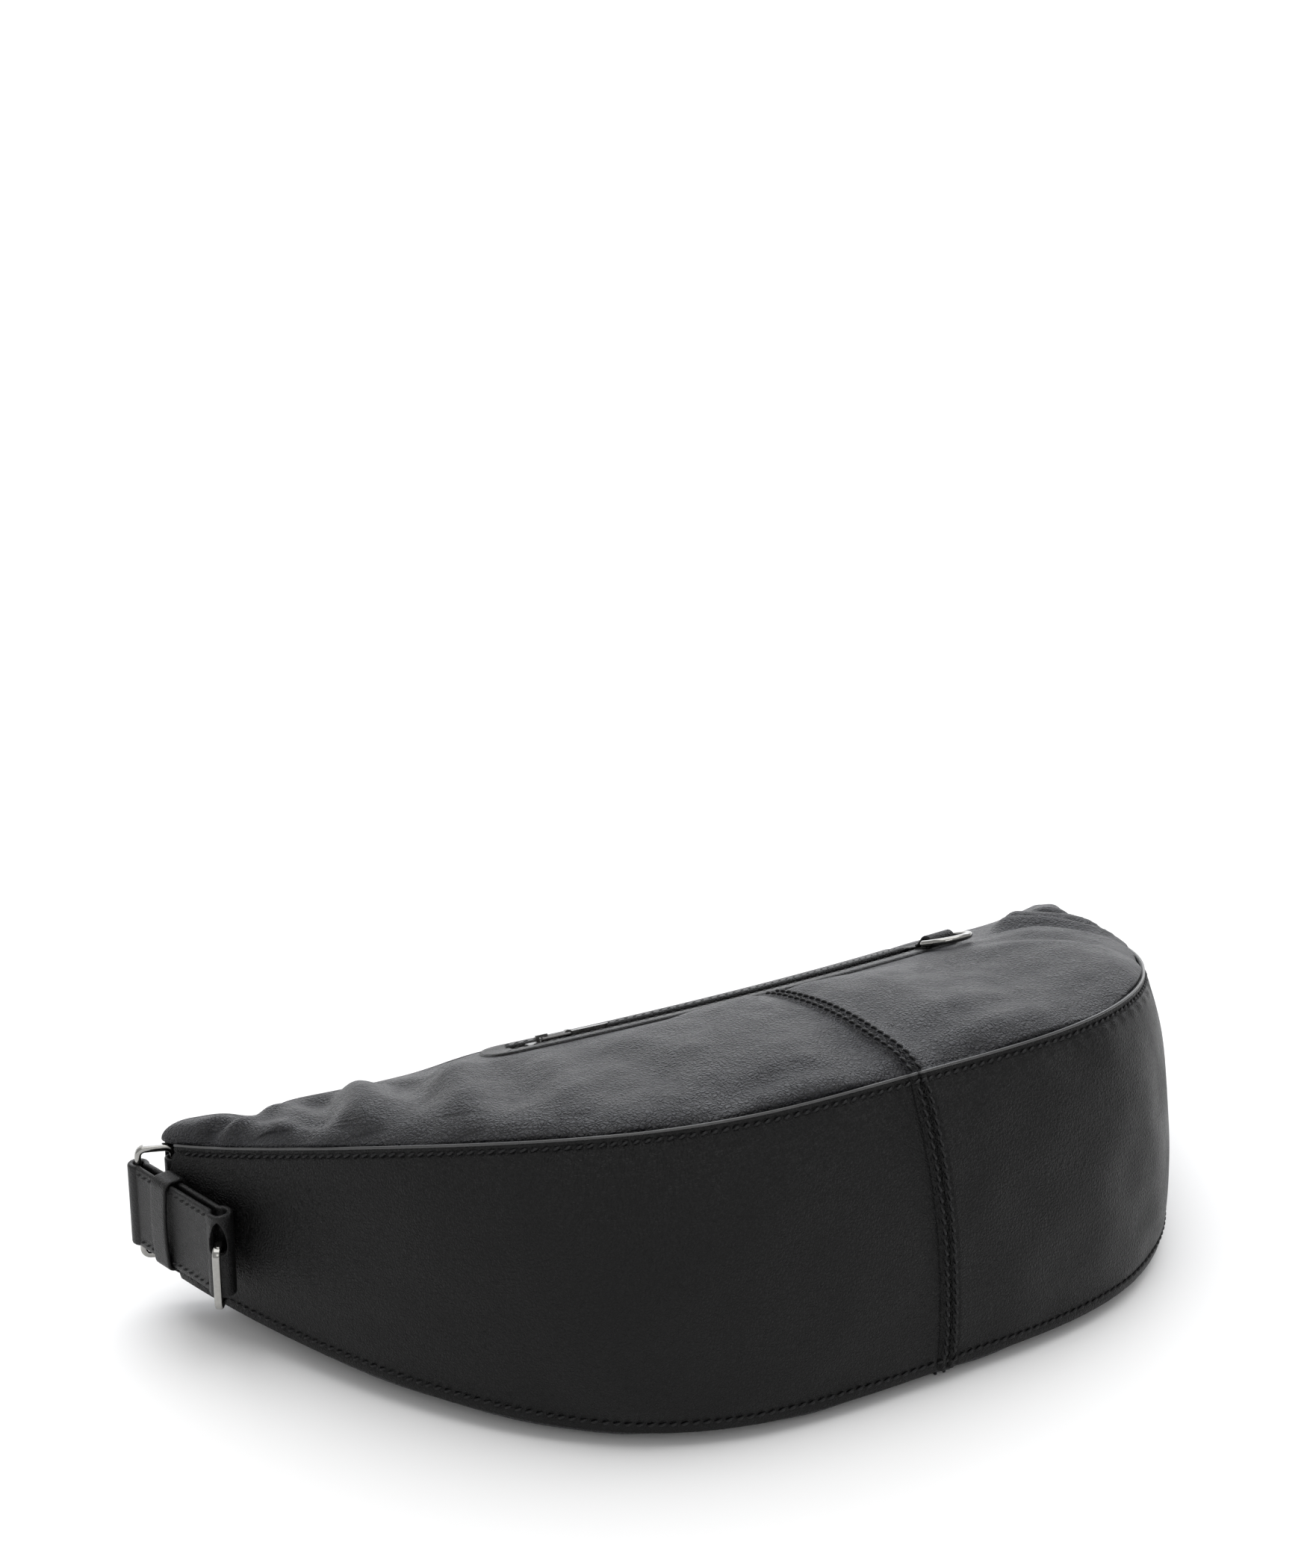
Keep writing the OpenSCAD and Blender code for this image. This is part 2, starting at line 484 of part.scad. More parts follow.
module strap_outer() color([0.1, 0.1, 0.1]) strap_layer(0, strap_t);
module strap_lining() color([0.16, 0.16, 0.16]) strap_layer(-strap_t, 0);

// ---------------------------------------------------------------- snap hook on the strap's free end
eye_reach = 12;
eye_z = eye_low + strap_w / 2;
barrel_d = 9;
barrel_len = 7.5;
stem_d = 4;
hook_r = 8.5;
hook_wire = 4;
gate_from = 28;
gate_to = 118;
module at_eye() translate([origin_x + eye_at[0], origin_y + eye_at[1], eye_z]) children();
module hook_eye() color([0.75, 0.75, 0.77]) at_eye() difference() {
    union() {
        wire_ring(eye_reach, strap_w + 1 + ring_wire, ring_wire);
        translate([eye_reach - ring_wire / 2 - 0.2, 0, 0]) rotate([0, 90, 0])
            cylinder(h = barrel_len, d = barrel_d);
    }
    translate([eye_reach - 5, 0, 0]) rotate([0, 90, 0]) cylinder(h = 20, d = stem_d + 2 * fit);
}
hook_x = eye_reach - ring_wire / 2 - 0.2 + barrel_len + 0.5 + hook_r + hook_wire / 2;
pivot = hook_r * [cos(gate_to), sin(gate_to)];
module hook_fork(wide) translate([pivot[0], pivot[1], 0]) cylinder(h = wide, d = hook_wire + 0.8, center = true);
module snap_hook() color([0.75, 0.75, 0.77]) at_eye() {
    head_x = eye_reach - ring_wire / 2 - 0.2 - gap - 1.4;
    translate([head_x, 0, 0]) rotate([0, 90, 0]) cylinder(h = 1.4, d = 6.4);
    translate([head_x, 0, 0]) rotate([0, 90, 0]) cylinder(h = hook_x - hook_r - head_x, d = stem_d);
    translate([hook_x, 0, 0]) difference() {
        union() {
            rotate([0, 0, gate_to]) rotate_extrude(angle = 360 - gate_to + gate_from)
                translate([hook_r, 0]) circle(d = hook_wire, $fn = 32);
            hook_fork(hook_wire);
        }
        // slot for the gate's eye, its pin hole and the notch for the gate's nose
        translate([pivot[0], pivot[1], 0]) cylinder(h = 2.2, d = hook_wire + 2.2, center = true);
        translate([pivot[0], pivot[1], 0]) cylinder(h = 10, d = 1.5, center = true);
        rotate([0, 0, gate_from]) translate([0, -4.2, -1.1]) cube([hook_r + 1.1, 4.3, 2.2]);
    }
}
module hook_gate_pin() color([0.6, 0.6, 0.62]) at_eye() translate([hook_x + pivot[0], pivot[1], 0])
    cylinder(h = hook_wire, d = 1.5, center = true);
module hook_gate() color([0.7, 0.7, 0.72]) at_eye() translate([hook_x, 0, 0]) difference() {
    union() {
        rotate([0, 0, gate_from + 3]) rotate_extrude(angle = gate_to - gate_from - 3)
            translate([hook_r - 0.8, -0.8]) square([1.6, 1.6]);
        translate([pivot[0], pivot[1], 0]) cylinder(h = 1.6, d = 3.6, center = true);
        rotate([0, 0, (gate_from + gate_to) / 2]) translate([hook_r + 0.4, 0, 0]) rotate([0, 90, 0])
            cylinder(h = 2.4, d = 2.4);
    }
    translate([pivot[0], pivot[1], 0]) cylinder(h = 10, d = 1.5 + 2 * fit, center = true);
}

// ---------------------------------------------------------------- inside pocket on the back lining
pocket_y = mid_y - 66;           // middle of the pocket
pocket_low = leather_t + lining_t;
pocket_h = 3.4;
pocket_t = 0.8;
slit_w = 9;
slit_len = pocket_len - 34;
pocket_top = pocket_low + pocket_h;
module at_pocket() translate([origin_x, origin_y + pocket_y, 0]) children();
module pocket_wall() color([0.33, 0.31, 0.28]) at_pocket() difference() {
    translate([-pocket_len / 2, -pocket_depth / 2, pocket_low]) cube([pocket_len, pocket_depth, pocket_h]);
    translate([-pocket_len / 2 + pocket_t, -pocket_depth / 2 + pocket_t, pocket_low - 1])
        cube([pocket_len - 2 * pocket_t, pocket_depth - 2 * pocket_t, pocket_h - pocket_t + 1]);
    translate([-slit_len / 2, -slit_w / 2, pocket_low]) cube([slit_len, slit_w, pocket_h + 1]);
}
ptape_t = 0.5;
module pocket_zip_tape() color([0.06, 0.06, 0.06]) at_pocket() for (s = [0, 1]) mirror([0, s, 0])
    translate([-slit_len / 2 - 4, 1.9, pocket_top]) cube([slit_len + 8, 5.6, ptape_t]);
module pocket_zip_teeth() color([0.5, 0.5, 0.52]) at_pocket() for (s = [0, 1]) mirror([0, s, 0])
    for (i = [0:floor((slit_len - 6) / 2.4)])
        translate([-slit_len / 2 + 2 + i * 2.4 + s * 1.2, 0.45, pocket_top - 0.4])
            cube([0.9, 1.45, 1.3]);
pslide_len = 9;
pslide_top = pocket_top + 0.9 + gap;
pslide_x = -slit_len / 2 + pslide_len / 2 + 1;
ppin_z = pslide_top + 0.9 + 0.7 + fit;
module pocket_slider() color([0.7, 0.7, 0.72]) at_pocket() translate([pslide_x, 0, 0]) {
    translate([-pslide_len / 2, -3, pslide_top]) cube([pslide_len, 6, 0.9]);
    translate([-pslide_len / 2, -1.6, pocket_top - 0.4 - gap - 0.8]) cube([pslide_len, 3.2, 0.8]);
    translate([-pslide_len / 2, -0.2, pocket_top - 1.3]) cube([1.6, 0.4, pslide_top - pocket_top + 1.4]);
    translate([0, -0.8, pslide_top + 0.89]) difference() {
        translate([-2, 0, 0]) cube([4, 1.6, 2.4]);
        translate([-1, -1, 0.01]) cube([2, 4, 1.6]);
    }
}
module pocket_pull() color([0.6, 0.6, 0.62]) at_pocket() translate([pslide_x, 0, ppin_z]) {
    translate([0, 2.4, 0]) rotate([90, 0, 0]) cylinder(h = 4.8, d = 1.4);
    for (s = [0, 1]) mirror([0, s, 0]) translate([0, 1.7, -0.7]) cube([6, 0.9, 1.4]);
    translate([6, -2.6, -0.7]) cube([12, 5.2, 1.4]);
}

front_panel_left();
front_panel_right();
back_panel_left();
back_panel_right();
gusset_left();
gusset_right();
gusset_board();
gusset_lining();
front_lining();
back_lining();
zip_facing_front();
zip_facing_back();
zip_end_facing_left();
zip_end_facing_right();
zip_tape_front();
zip_tape_back();
zip_teeth_front();
zip_teeth_back();
zip_stops();
zip_slider();
zip_pull_link();
zip_pull_bar();
d_ring_tab();
d_ring();
ring_tab_left();
ring_tab_right();
end_ring_left();
end_ring_right();
buckle_tab();
strap_keeper();
buckle_ring();
strap_outer();
strap_lining();
hook_eye();
snap_hook();
hook_gate();
hook_gate_pin();
pocket_wall();
pocket_zip_tape();
pocket_zip_teeth();
pocket_slider();
pocket_pull();
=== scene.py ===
# %% [markdown]
# # A half-moon hobo bag, lying on its back
# A hobo bag is four pieces of leather: a front, a back, a deep gusset that joins them along
# the curved bottom, and a band with the zip in it. This lesson builds each of them as a
# surface worked out with numpy, and then the thread, the rings, the strap and the zip.
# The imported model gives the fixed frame: every piece is made where that frame says.

# %% Load the fixed frame
import bpy
import math
import numpy as np
import bmesh
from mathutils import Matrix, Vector


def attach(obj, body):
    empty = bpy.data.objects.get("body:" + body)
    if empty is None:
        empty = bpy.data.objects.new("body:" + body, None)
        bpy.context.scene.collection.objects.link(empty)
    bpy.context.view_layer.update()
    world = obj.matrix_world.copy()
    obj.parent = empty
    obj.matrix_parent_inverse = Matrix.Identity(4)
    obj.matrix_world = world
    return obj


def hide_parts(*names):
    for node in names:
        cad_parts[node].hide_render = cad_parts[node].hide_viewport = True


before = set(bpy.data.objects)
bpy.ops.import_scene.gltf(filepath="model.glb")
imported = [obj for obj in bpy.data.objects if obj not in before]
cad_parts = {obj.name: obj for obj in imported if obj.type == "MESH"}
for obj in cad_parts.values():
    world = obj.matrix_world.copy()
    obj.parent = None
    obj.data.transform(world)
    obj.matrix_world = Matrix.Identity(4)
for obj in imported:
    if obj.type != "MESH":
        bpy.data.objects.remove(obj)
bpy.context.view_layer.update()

# %% [markdown]
# The camera comes first, so that every later look is the same look. It is a long lens, a
# little over a metre away, in front of the bag and to its left, and it looks down at about
# 18 degrees.

# %% Camera
MM = 0.001
ORIGIN = np.array([-0.9, 77.7, 0.0])          # the tips' line in the frame, in millimetres
EYE = (np.array([-582.1, -939.1, 552.5]) + ORIGIN) * MM
LOOK = np.array([0.5020, 0.8043, -0.3180])
LENS = 74.26


def add_camera(place, direction, lens):
    """A camera at place that looks along direction, level from side to side."""
    data = bpy.data.cameras.new("camera")
    data.lens, data.sensor_width, data.sensor_fit = lens, 36, "HORIZONTAL"
    data.clip_end = 50
    cam = bpy.data.objects.new("camera", data)
    cam.location = place
    cam.rotation_euler = Vector(direction).to_track_quat("-Z", "Y").to_euler()
    bpy.context.scene.collection.objects.link(cam)
    bpy.context.scene.camera = cam


add_camera(EYE, LOOK, LENS)
print("camera at", np.round(EYE, 3))

# %% [markdown]
# ## Small tools
# A piece is a grid of points: one index runs along it and one round it. These helpers turn a
# grid into a mesh, close it where asked, and give it a UV map in metres along and across.

# %% Grid to mesh


def lengths(p, axis):
    """Distance run along one axis of a grid of points, starting at 0, averaged over the other axis."""
    step = np.linalg.norm(np.diff(p, axis=axis), axis=-1)
    return np.concatenate([[0], np.cumsum(step.mean(axis=1 - axis))])


def face_outwards(mesh):
    """Turns every face of a closed mesh so that its front is on the outside."""
    work = bmesh.new()
    work.from_mesh(mesh)
    bmesh.ops.recalc_face_normals(work, faces=work.faces)
    work.to_mesh(mesh)
    work.free()


def surface(name, points, material, body="bag", wrap_u=False, wrap_v=False, flip=False, caps=False):
    """One mesh from a grid (nu, nv, 3) in millimetres of the bag's own frame.

    Each cell is a quad. wrap_u and wrap_v join the last row to the first. caps closes the two
    ends of a grid that wraps in v with one face each. flip reverses the order of each face's
    corners. A grid that wraps in v has its faces turned outwards after that."""
    p = np.asarray(points, float)
    nu, nv = p.shape[:2]
    iu = np.arange(nu if wrap_u else nu - 1)
    iv = np.arange(nv if wrap_v else nv - 1)
    i, j = np.meshgrid(iu, iv, indexing="ij")
    i2, j2 = (i + 1) % nu, (j + 1) % nv
    quad = np.stack([i * nv + j, i2 * nv + j, i2 * nv + j2, i * nv + j2], -1).reshape(-1, 4)
    if flip:
        quad = quad[:, ::-1]
    faces = quad.tolist()
    if caps:
        ends = [list(range(nv))[::-1], list(range((nu - 1) * nv, nu * nv))]
        faces += [e[::-1] for e in ends] if flip else ends
    mesh = bpy.data.meshes.new(name)
    mesh.from_pydata(((p + ORIGIN) * MM).reshape(-1, 3).tolist(), [], faces)
    u, v = lengths(p, 0), lengths(p, 1)
    uv = np.stack(np.meshgrid(u, v, indexing="ij"), -1).reshape(-1, 2) * MM
    loops = np.zeros(len(mesh.loops), np.int32)
    mesh.loops.foreach_get("vertex_index", loops)
    mesh.uv_layers.new(name="UVMap").data.foreach_set("uv", uv[loops].ravel())
    mesh.polygons.foreach_set("use_smooth", [True] * len(mesh.polygons))
    mesh.materials.append(material)
    if wrap_v:
        face_outwards(mesh)
    obj = bpy.data.objects.new(name, mesh)
    bpy.context.scene.collection.objects.link(obj)
    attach(obj, body)
    return obj


def unit(v):
    """The same directions with length 1."""
    return v / np.maximum(np.linalg.norm(v, axis=-1, keepdims=True), 1e-12)


def smooth(t):
    """0 below 0, 1 above 1, and 3 t squared minus 2 t cubed between them."""
    t = np.clip(t, 0, 1)
    return t * t * (3 - 2 * t)


def swell(a, b, size, seed, waves=14):
    """A soft random height over two coordinates: a sum of waves with seeded directions and phases."""
    rng = np.random.default_rng(seed)
    angle, phase = rng.uniform(0, 2 * np.pi, (2, waves))
    k = 2 * np.pi / (size * rng.uniform(0.7, 1.6, waves))
    total = sum(np.sin(k[n] * (a * np.cos(angle[n]) + b * np.sin(angle[n])) + phase[n])
                for n in range(waves))
    return total / math.sqrt(waves / 2)


print("tools ready")

# %% [markdown]
# ## Leather, thread and metal
# Leather is a dull black skin with a grain: small raised cells with fine valleys between
# them. A Voronoi pattern's distance to its cell edges gives the valleys, a warp keeps the
# cells from looking like tiles, and noise makes the polish uneven. The panels are a soft
# pebbled skin, and the gusset, rims and straps are a smoother one with a little more gloss.

# %% Leather


def nodes_of(name):
    """A new material with its node tree and the shader that Blender starts it with."""
    mat = bpy.data.materials.new(name)
    mat.use_nodes = True
    return mat, mat.node_tree, mat.node_tree.nodes["Principled BSDF"]


def link(tree, a, out, b, inp):
    """Joins one node's output to another's input."""
    tree.links.new(a.outputs[out], b.inputs[inp])


def math_node(tree, kind, a, b):
    """One arithmetic node; each of a and b is a number or a (node, output) pair."""
    n = tree.nodes.new("ShaderNodeMath")
    n.operation = kind
    for k, value in enumerate((a, b)):
        if isinstance(value, tuple):
            tree.links.new(value[0].outputs[value[1]], n.inputs[k])
        else:
            n.inputs[k].default_value = value
    return n


def leather(name, colour, valley, cell, depth, rough, spread, gloss, sheen=0.0, crease=0.0):
    """Leather whose grain cells are about cell millimetres across, with valleys depth millimetres deep."""
    mat, tree, bsdf = nodes_of(name)
    where = tree.nodes.new("ShaderNodeTexCoord")
    warp = tree.nodes.new("ShaderNodeTexNoise")
    warp.inputs["Scale"].default_value = 1 / (cell * 2.2 * MM)
    warp.inputs["Detail"].default_value = 3
    link(tree, where, "Object", warp, "Vector")
    bend = tree.nodes.new("ShaderNodeMix")
    bend.data_type = "VECTOR"
    bend.inputs["Factor"].default_value = 0.0022 * cell
    link(tree, where, "Object", bend, "A")
    link(tree, warp, "Color", bend, "B")
    cells = tree.nodes.new("ShaderNodeTexVoronoi")
    cells.feature = "DISTANCE_TO_EDGE"
    cells.inputs["Scale"].default_value = 1 / (cell * MM)
    link(tree, bend, "Result", cells, "Vector")
    fine = tree.nodes.new("ShaderNodeTexNoise")
    fine.inputs["Scale"].default_value = 1 / (cell * 0.35 * MM)
    fine.inputs["Detail"].default_value = 4
    link(tree, where, "Object", fine, "Vector")
    broad = tree.nodes.new("ShaderNodeTexNoise")
    broad.inputs["Scale"].default_value = 1 / (18 * MM)
    broad.inputs["Detail"].default_value = 5
    link(tree, where, "Object", broad, "Vector")
    hills = math_node(tree, "MINIMUM", (cells, "Distance"), 0.32)
    height = math_node(tree, "MULTIPLY_ADD", (hills, "Value"), 1.6)
    height.inputs[2].default_value = 0
    pores = math_node(tree, "MULTIPLY", (fine, "Fac"), 0.35)
    height = math_node(tree, "ADD", (height, "Value"), (pores, "Value"))
    if crease:
        lines = tree.nodes.new("ShaderNodeTexNoise")
        lines.inputs["Scale"].default_value = 1 / (9 * MM)
        lines.inputs["Detail"].default_value = 6
        lines.inputs["Roughness"].default_value = 0.62
        lines.inputs["Distortion"].default_value = 1.2
        link(tree, where, "Object", lines, "Vector")
        wrinkles = math_node(tree, "MULTIPLY", (lines, "Fac"), crease)
        height = math_node(tree, "ADD", (height, "Value"), (wrinkles, "Value"))
    bump = tree.nodes.new("ShaderNodeBump")
    bump.inputs["Distance"].default_value = depth * MM
    bump.inputs["Strength"].default_value = 1.0
    link(tree, height, "Value", bump, "Height")
    link(tree, bump, "Normal", bsdf, "Normal")
    tone = tree.nodes.new("ShaderNodeValToRGB")
    tone.color_ramp.elements[0].position, tone.color_ramp.elements[1].position = 0.02, 0.3
    tone.color_ramp.elements[0].color = (*valley, 1)
    tone.color_ramp.elements[1].color = (*colour, 1)
    link(tree, cells, "Distance", tone, "Fac")
    shade = tree.nodes.new("ShaderNodeMix")
    shade.data_type, shade.blend_type = "RGBA", "MULTIPLY"
    shade.inputs["Factor"].default_value = 0.5
    link(tree, tone, "Color", shade, "A")
    ramp = tree.nodes.new("ShaderNodeValToRGB")
    ramp.color_ramp.elements[0].position, ramp.color_ramp.elements[1].position = 0.3, 0.7
    ramp.color_ramp.elements[0].color = (0.6, 0.6, 0.6, 1)
    ramp.color_ramp.elements[1].color = (1, 1, 1, 1)
    link(tree, broad, "Fac", ramp, "Fac")
    link(tree, ramp, "Color", shade, "B")
    link(tree, shade, "Result", bsdf, "Base Color")
    polish = tree.nodes.new("ShaderNodeMapRange")
    polish.inputs["From Min"].default_value, polish.inputs["From Max"].default_value = 0.3, 0.7
    polish.inputs["To Min"].default_value = rough - spread
    polish.inputs["To Max"].default_value = rough + spread
    link(tree, broad, "Fac", polish, "Value")
    link(tree, polish, "Result", bsdf, "Roughness")
    bsdf.inputs["Specular IOR Level"].default_value = gloss
    if sheen:
        bsdf.inputs["Sheen Weight"].default_value = sheen
        bsdf.inputs["Sheen Roughness"].default_value = 0.45
        bsdf.inputs["Sheen Tint"].default_value = (0.8, 0.84, 1.0, 1)
    return mat


pebbled = leather("pebbled_leather", (0.010, 0.010, 0.0135), (0.001, 0.001, 0.0015), cell=1.7, depth=0.95,
                  rough=0.43, spread=0.06, gloss=0.34, sheen=0.03, crease=1.3)
smooth_hide = leather("smooth_leather", (0.0030, 0.0030, 0.0033), (0.001, 0.001, 0.001), cell=1.4,
                      depth=0.45, rough=0.42, spread=0.06, gloss=0.20)
strap_hide = leather("strap_leather", (0.005, 0.005, 0.0055), (0.002, 0.002, 0.002), cell=1.0,
                     depth=0.22, rough=0.38, spread=0.06, gloss=0.30)
edge_paint = leather("edge_paint", (0.045, 0.045, 0.046), (0.03, 0.03, 0.03), cell=0.9, depth=0.04,
                     rough=0.30, spread=0.05, gloss=0.6)
print("leathers:", pebbled.name, smooth_hide.name, strap_hide.name, edge_paint.name)

# %% [markdown]
# Thread is twisted, and its bump is a fine noise over it. The metals are plated:
# smooth, nearly clean, with faint fine wear in the polish.

# %% Thread, metals, tape, lining


def plain(name, colour, rough, metal=0.0, wear=0.05, wear_mm=2.0, bump_mm=0.0, gloss=0.5):
    """One even material whose roughness wanders by wear over patches of wear_mm millimetres."""
    mat, tree, bsdf = nodes_of(name)
    where = tree.nodes.new("ShaderNodeTexCoord")
    noise = tree.nodes.new("ShaderNodeTexNoise")
    noise.inputs["Scale"].default_value = 1 / (wear_mm * MM)
    noise.inputs["Detail"].default_value = 6
    link(tree, where, "Object", noise, "Vector")
    span = tree.nodes.new("ShaderNodeMapRange")
    span.inputs["From Min"].default_value, span.inputs["From Max"].default_value = 0.3, 0.7
    span.inputs["To Min"].default_value = max(rough - wear, 0.03)
    span.inputs["To Max"].default_value = rough + wear
    link(tree, noise, "Fac", span, "Value")
    link(tree, span, "Result", bsdf, "Roughness")
    tint = tree.nodes.new("ShaderNodeValToRGB")
    tint.color_ramp.elements[0].position, tint.color_ramp.elements[1].position = 0.3, 0.7
    tint.color_ramp.elements[0].color = tuple(0.85 * c for c in colour) + (1,)
    tint.color_ramp.elements[1].color = (*colour, 1)
    link(tree, noise, "Fac", tint, "Fac")
    link(tree, tint, "Color", bsdf, "Base Color")
    bsdf.inputs["Metallic"].default_value = metal
    bsdf.inputs["Specular IOR Level"].default_value = gloss
    if bump_mm:
        bump = tree.nodes.new("ShaderNodeBump")
        bump.inputs["Distance"].default_value = bump_mm * MM
        link(tree, noise, "Fac", bump, "Height")
        link(tree, bump, "Normal", bsdf, "Normal")
    return mat


def woven(name, colour, pitch, rough=0.8):
    """Cloth: two crossing sets of bands, pitch millimetres apart, with a little unevenness."""
    mat, tree, bsdf = nodes_of(name)
    where = tree.nodes.new("ShaderNodeTexCoord")
    threads = []
    for turn in ("X", "Y"):
        wave = tree.nodes.new("ShaderNodeTexWave")
        wave.bands_direction = turn
        wave.inputs["Scale"].default_value = 1 / (pitch * 2 * MM)
        wave.inputs["Distortion"].default_value = 0.4
        link(tree, where, "Object", wave, "Vector")
        threads.append(wave)
    both = math_node(tree, "MULTIPLY", (threads[0], "Fac"), (threads[1], "Fac"))
    bump = tree.nodes.new("ShaderNodeBump")
    bump.inputs["Distance"].default_value = 0.15 * MM
    link(tree, both, "Value", bump, "Height")
    link(tree, bump, "Normal", bsdf, "Normal")
    tint = tree.nodes.new("ShaderNodeValToRGB")
    tint.color_ramp.elements[0].color = tuple(0.5 * c for c in colour) + (1,)
    tint.color_ramp.elements[1].color = (*colour, 1)
    link(tree, both, "Value", tint, "Fac")
    link(tree, tint, "Color", bsdf, "Base Color")
    bsdf.inputs["Roughness"].default_value = rough
    return mat


thread = plain("black_thread", (0.0035, 0.0035, 0.004), 0.5, wear=0.06, wear_mm=0.5, bump_mm=0.12, gloss=0.3)
nickel = plain("polished_nickel", (0.34, 0.335, 0.32), 0.14, metal=1, wear=0.05, wear_mm=1.5)
gunmetal = plain("polished_gunmetal", (0.09, 0.088, 0.086), 0.26, metal=1, wear=0.06, wear_mm=1.5)
tooth_metal = plain("zip_tooth_metal", (0.30, 0.30, 0.30), 0.3, metal=1, wear=0.08, wear_mm=1)
zip_cloth = woven("zip_tape_cloth", (0.02, 0.02, 0.021), 0.5)
lining_cloth = woven("lining_cloth", (0.09, 0.09, 0.095), 0.45)
board_card = plain("stiffening_board", (0.30, 0.25, 0.19), 0.8, wear_mm=3, bump_mm=0.1)
print("thread, metals and cloths ready")

# %% [markdown]
# ## The shape of the bag
# Every wall follows one closed cross-section. Seen from above, the bottom edge is a
# superellipse. The zip's band lies on a circle in a plane that tilts down and away. The
# gusset and the two panels are Bezier curves between those, so they always meet.

# %% The bottom edge and the top band
HALF = 230.0                                 # half the bag's length
DEPTH = 220.0                                # how far the bottom edge reaches out in the middle
TIP = 0.9915                                 # where the walls end, as a share of half the length
TOP_R = 360.0                                # radius of the zip's curve
TILT = math.radians(21)                      # the band's plane tilts down and away by this
BAND_Y, BAND_Z = -74, 109                    # the middle of the band
ZIP_MID, ZIP_HALF = 4.0, 107.0               # the zip's middle and half its length, along x
END_H, MIDDLE_H = 55, 114                    # the gusset's height at the tips and in the middle
BAND_WIDE, BAND_THIN, BAND_TAPER = 20, 1.5, 65


def bottom_y(q):
    """Minus the depth times one minus |q| to the power 3.5, all to the power 1/1.16. q is x over
    half the length."""
    return -DEPTH * np.clip(1 - np.abs(q) ** 3.5, 0, None) ** (1 / 1.16)


def outward(q):
    """The level direction straight out of the bottom edge, from the slope between two near points."""
    dx, dy = HALF * 0.008, bottom_y(q + 0.004) - bottom_y(q - 0.004)
    return unit(np.stack(np.broadcast_arrays(dy, -dx, 0 * q), -1))


def lip(q):
    """Height of the gusset's lower edge: 7, rising with the fourth power of q to 15."""
    return 7 + 8 * q ** 4


def height(q):
    """Height of the gusset: full in the middle, falling with |q| to the power 5.2 to its tips."""
    return END_H + (MIDDLE_H - END_H) * (1 - np.abs(q) ** 5.2)


def lean(q):
    """How far the gusset's upper edge leans in: 23.5 times one minus |q| to the power 2.6."""
    return 23.5 * (1 - np.abs(q) ** 2.6)


def rise(q):
    """How far the back panel lifts off the surface: none up to |q| 0.35, then a sixth power up to 13."""
    return 13 * (np.clip(np.abs(q) - 0.35, 0, None) / 0.65) ** 6


def on_band(phi, r, up=0.0):
    """A point of the tilted band: angle phi round its circle, r out from it, up over it."""
    x, v = (TOP_R + r) * np.sin(phi), TOP_R - (TOP_R + r) * np.cos(phi)
    return np.stack(np.broadcast_arrays(
        x, BAND_Y + v * math.cos(TILT) + up * math.sin(TILT),
        BAND_Z - v * math.sin(TILT) + up * math.cos(TILT)), -1)


def phi_of(q):
    """The angle round the band's circle at which x is half the length times q."""
    return np.arcsin(HALF * q / TOP_R)


def band_half(q):
    """Half the band's width: BAND_WIDE along the zip, falling smoothly to BAND_THIN within
    BAND_TAPER past its ends."""
    past = np.clip(np.abs(HALF * q - ZIP_MID) - ZIP_HALF, 0, None)
    return BAND_WIDE - (BAND_WIDE - BAND_THIN) * smooth(past / BAND_TAPER)


def tip_drop(q):
    """How far the top falls: a quarter circle in the last 9 before each tip, a dip of 4 across
    x -197, and 2.2 all along the left."""
    x = HALF * q
    s = np.clip((np.abs(x) - HALF * TIP + 9) / 9, 0, 1)
    dip = 4.0 * np.exp(-((x + 197) / 8) ** 2) + 2.2 * smooth((-x - 108) / 35)
    return 6.2 * (1 - np.sqrt(np.clip(1 - s * s, 0, 1))) + dip


def depth_at(q):
    """The distance from the bottom edge to the band, level."""
    return on_band(phi_of(q), 0)[..., 1] - bottom_y(q)


print("depth of the bag in the middle:", round(float(depth_at(np.array(0.0))), 1), "mm")

# %% Sections of the gusset, the front and the back
UP = np.array([0.0, 0.0, 1.0])


def bezier(p0, p1, p2, p3, t):
    """A cubic Bezier curve: the four points weighted by the Bernstein polynomials of t."""
    t = t[..., None]
    return (1 - t) ** 3 * p0 + 3 * (1 - t) ** 2 * t * p1 + 3 * (1 - t) * t ** 2 * p2 + t ** 3 * p3


def low_edge(q):
    """The gusset's lower edge."""
    return np.stack([HALF * q, bottom_y(q), lip(q)], -1)


def top_edge(q):
    """The gusset's upper edge: up by its height and in by its lean."""
    return low_edge(q) - lean(q)[..., None] * outward(q) + height(q)[..., None] * UP


def gusset_base(q, t):
    """From the lower edge to the upper, bulging 5 outwards."""
    q, t = np.broadcast_arrays(q, t)
    n, h, low, top = outward(q), height(q)[..., None], low_edge(q), top_edge(q)
    return bezier(low, low + 5 * n + 0.36 * h * UP,
                  top + (0.45 * lean(q)[..., None] + 5) * n - 0.22 * h * UP, top, t)


def front_base(q, t):
    """From the gusset's upper edge to the band, leaving the one steeply and meeting the other flat."""
    q, t = np.broadcast_arrays(q, t)
    n, d, w, top = outward(q), depth_at(q), band_half(q), top_edge(q)
    return bezier(top, top - 0.1 * d[..., None] * n + 0.09 * d[..., None] * UP,
                  on_band(phi_of(q), w + 0.24 * d), on_band(phi_of(q), w), t)


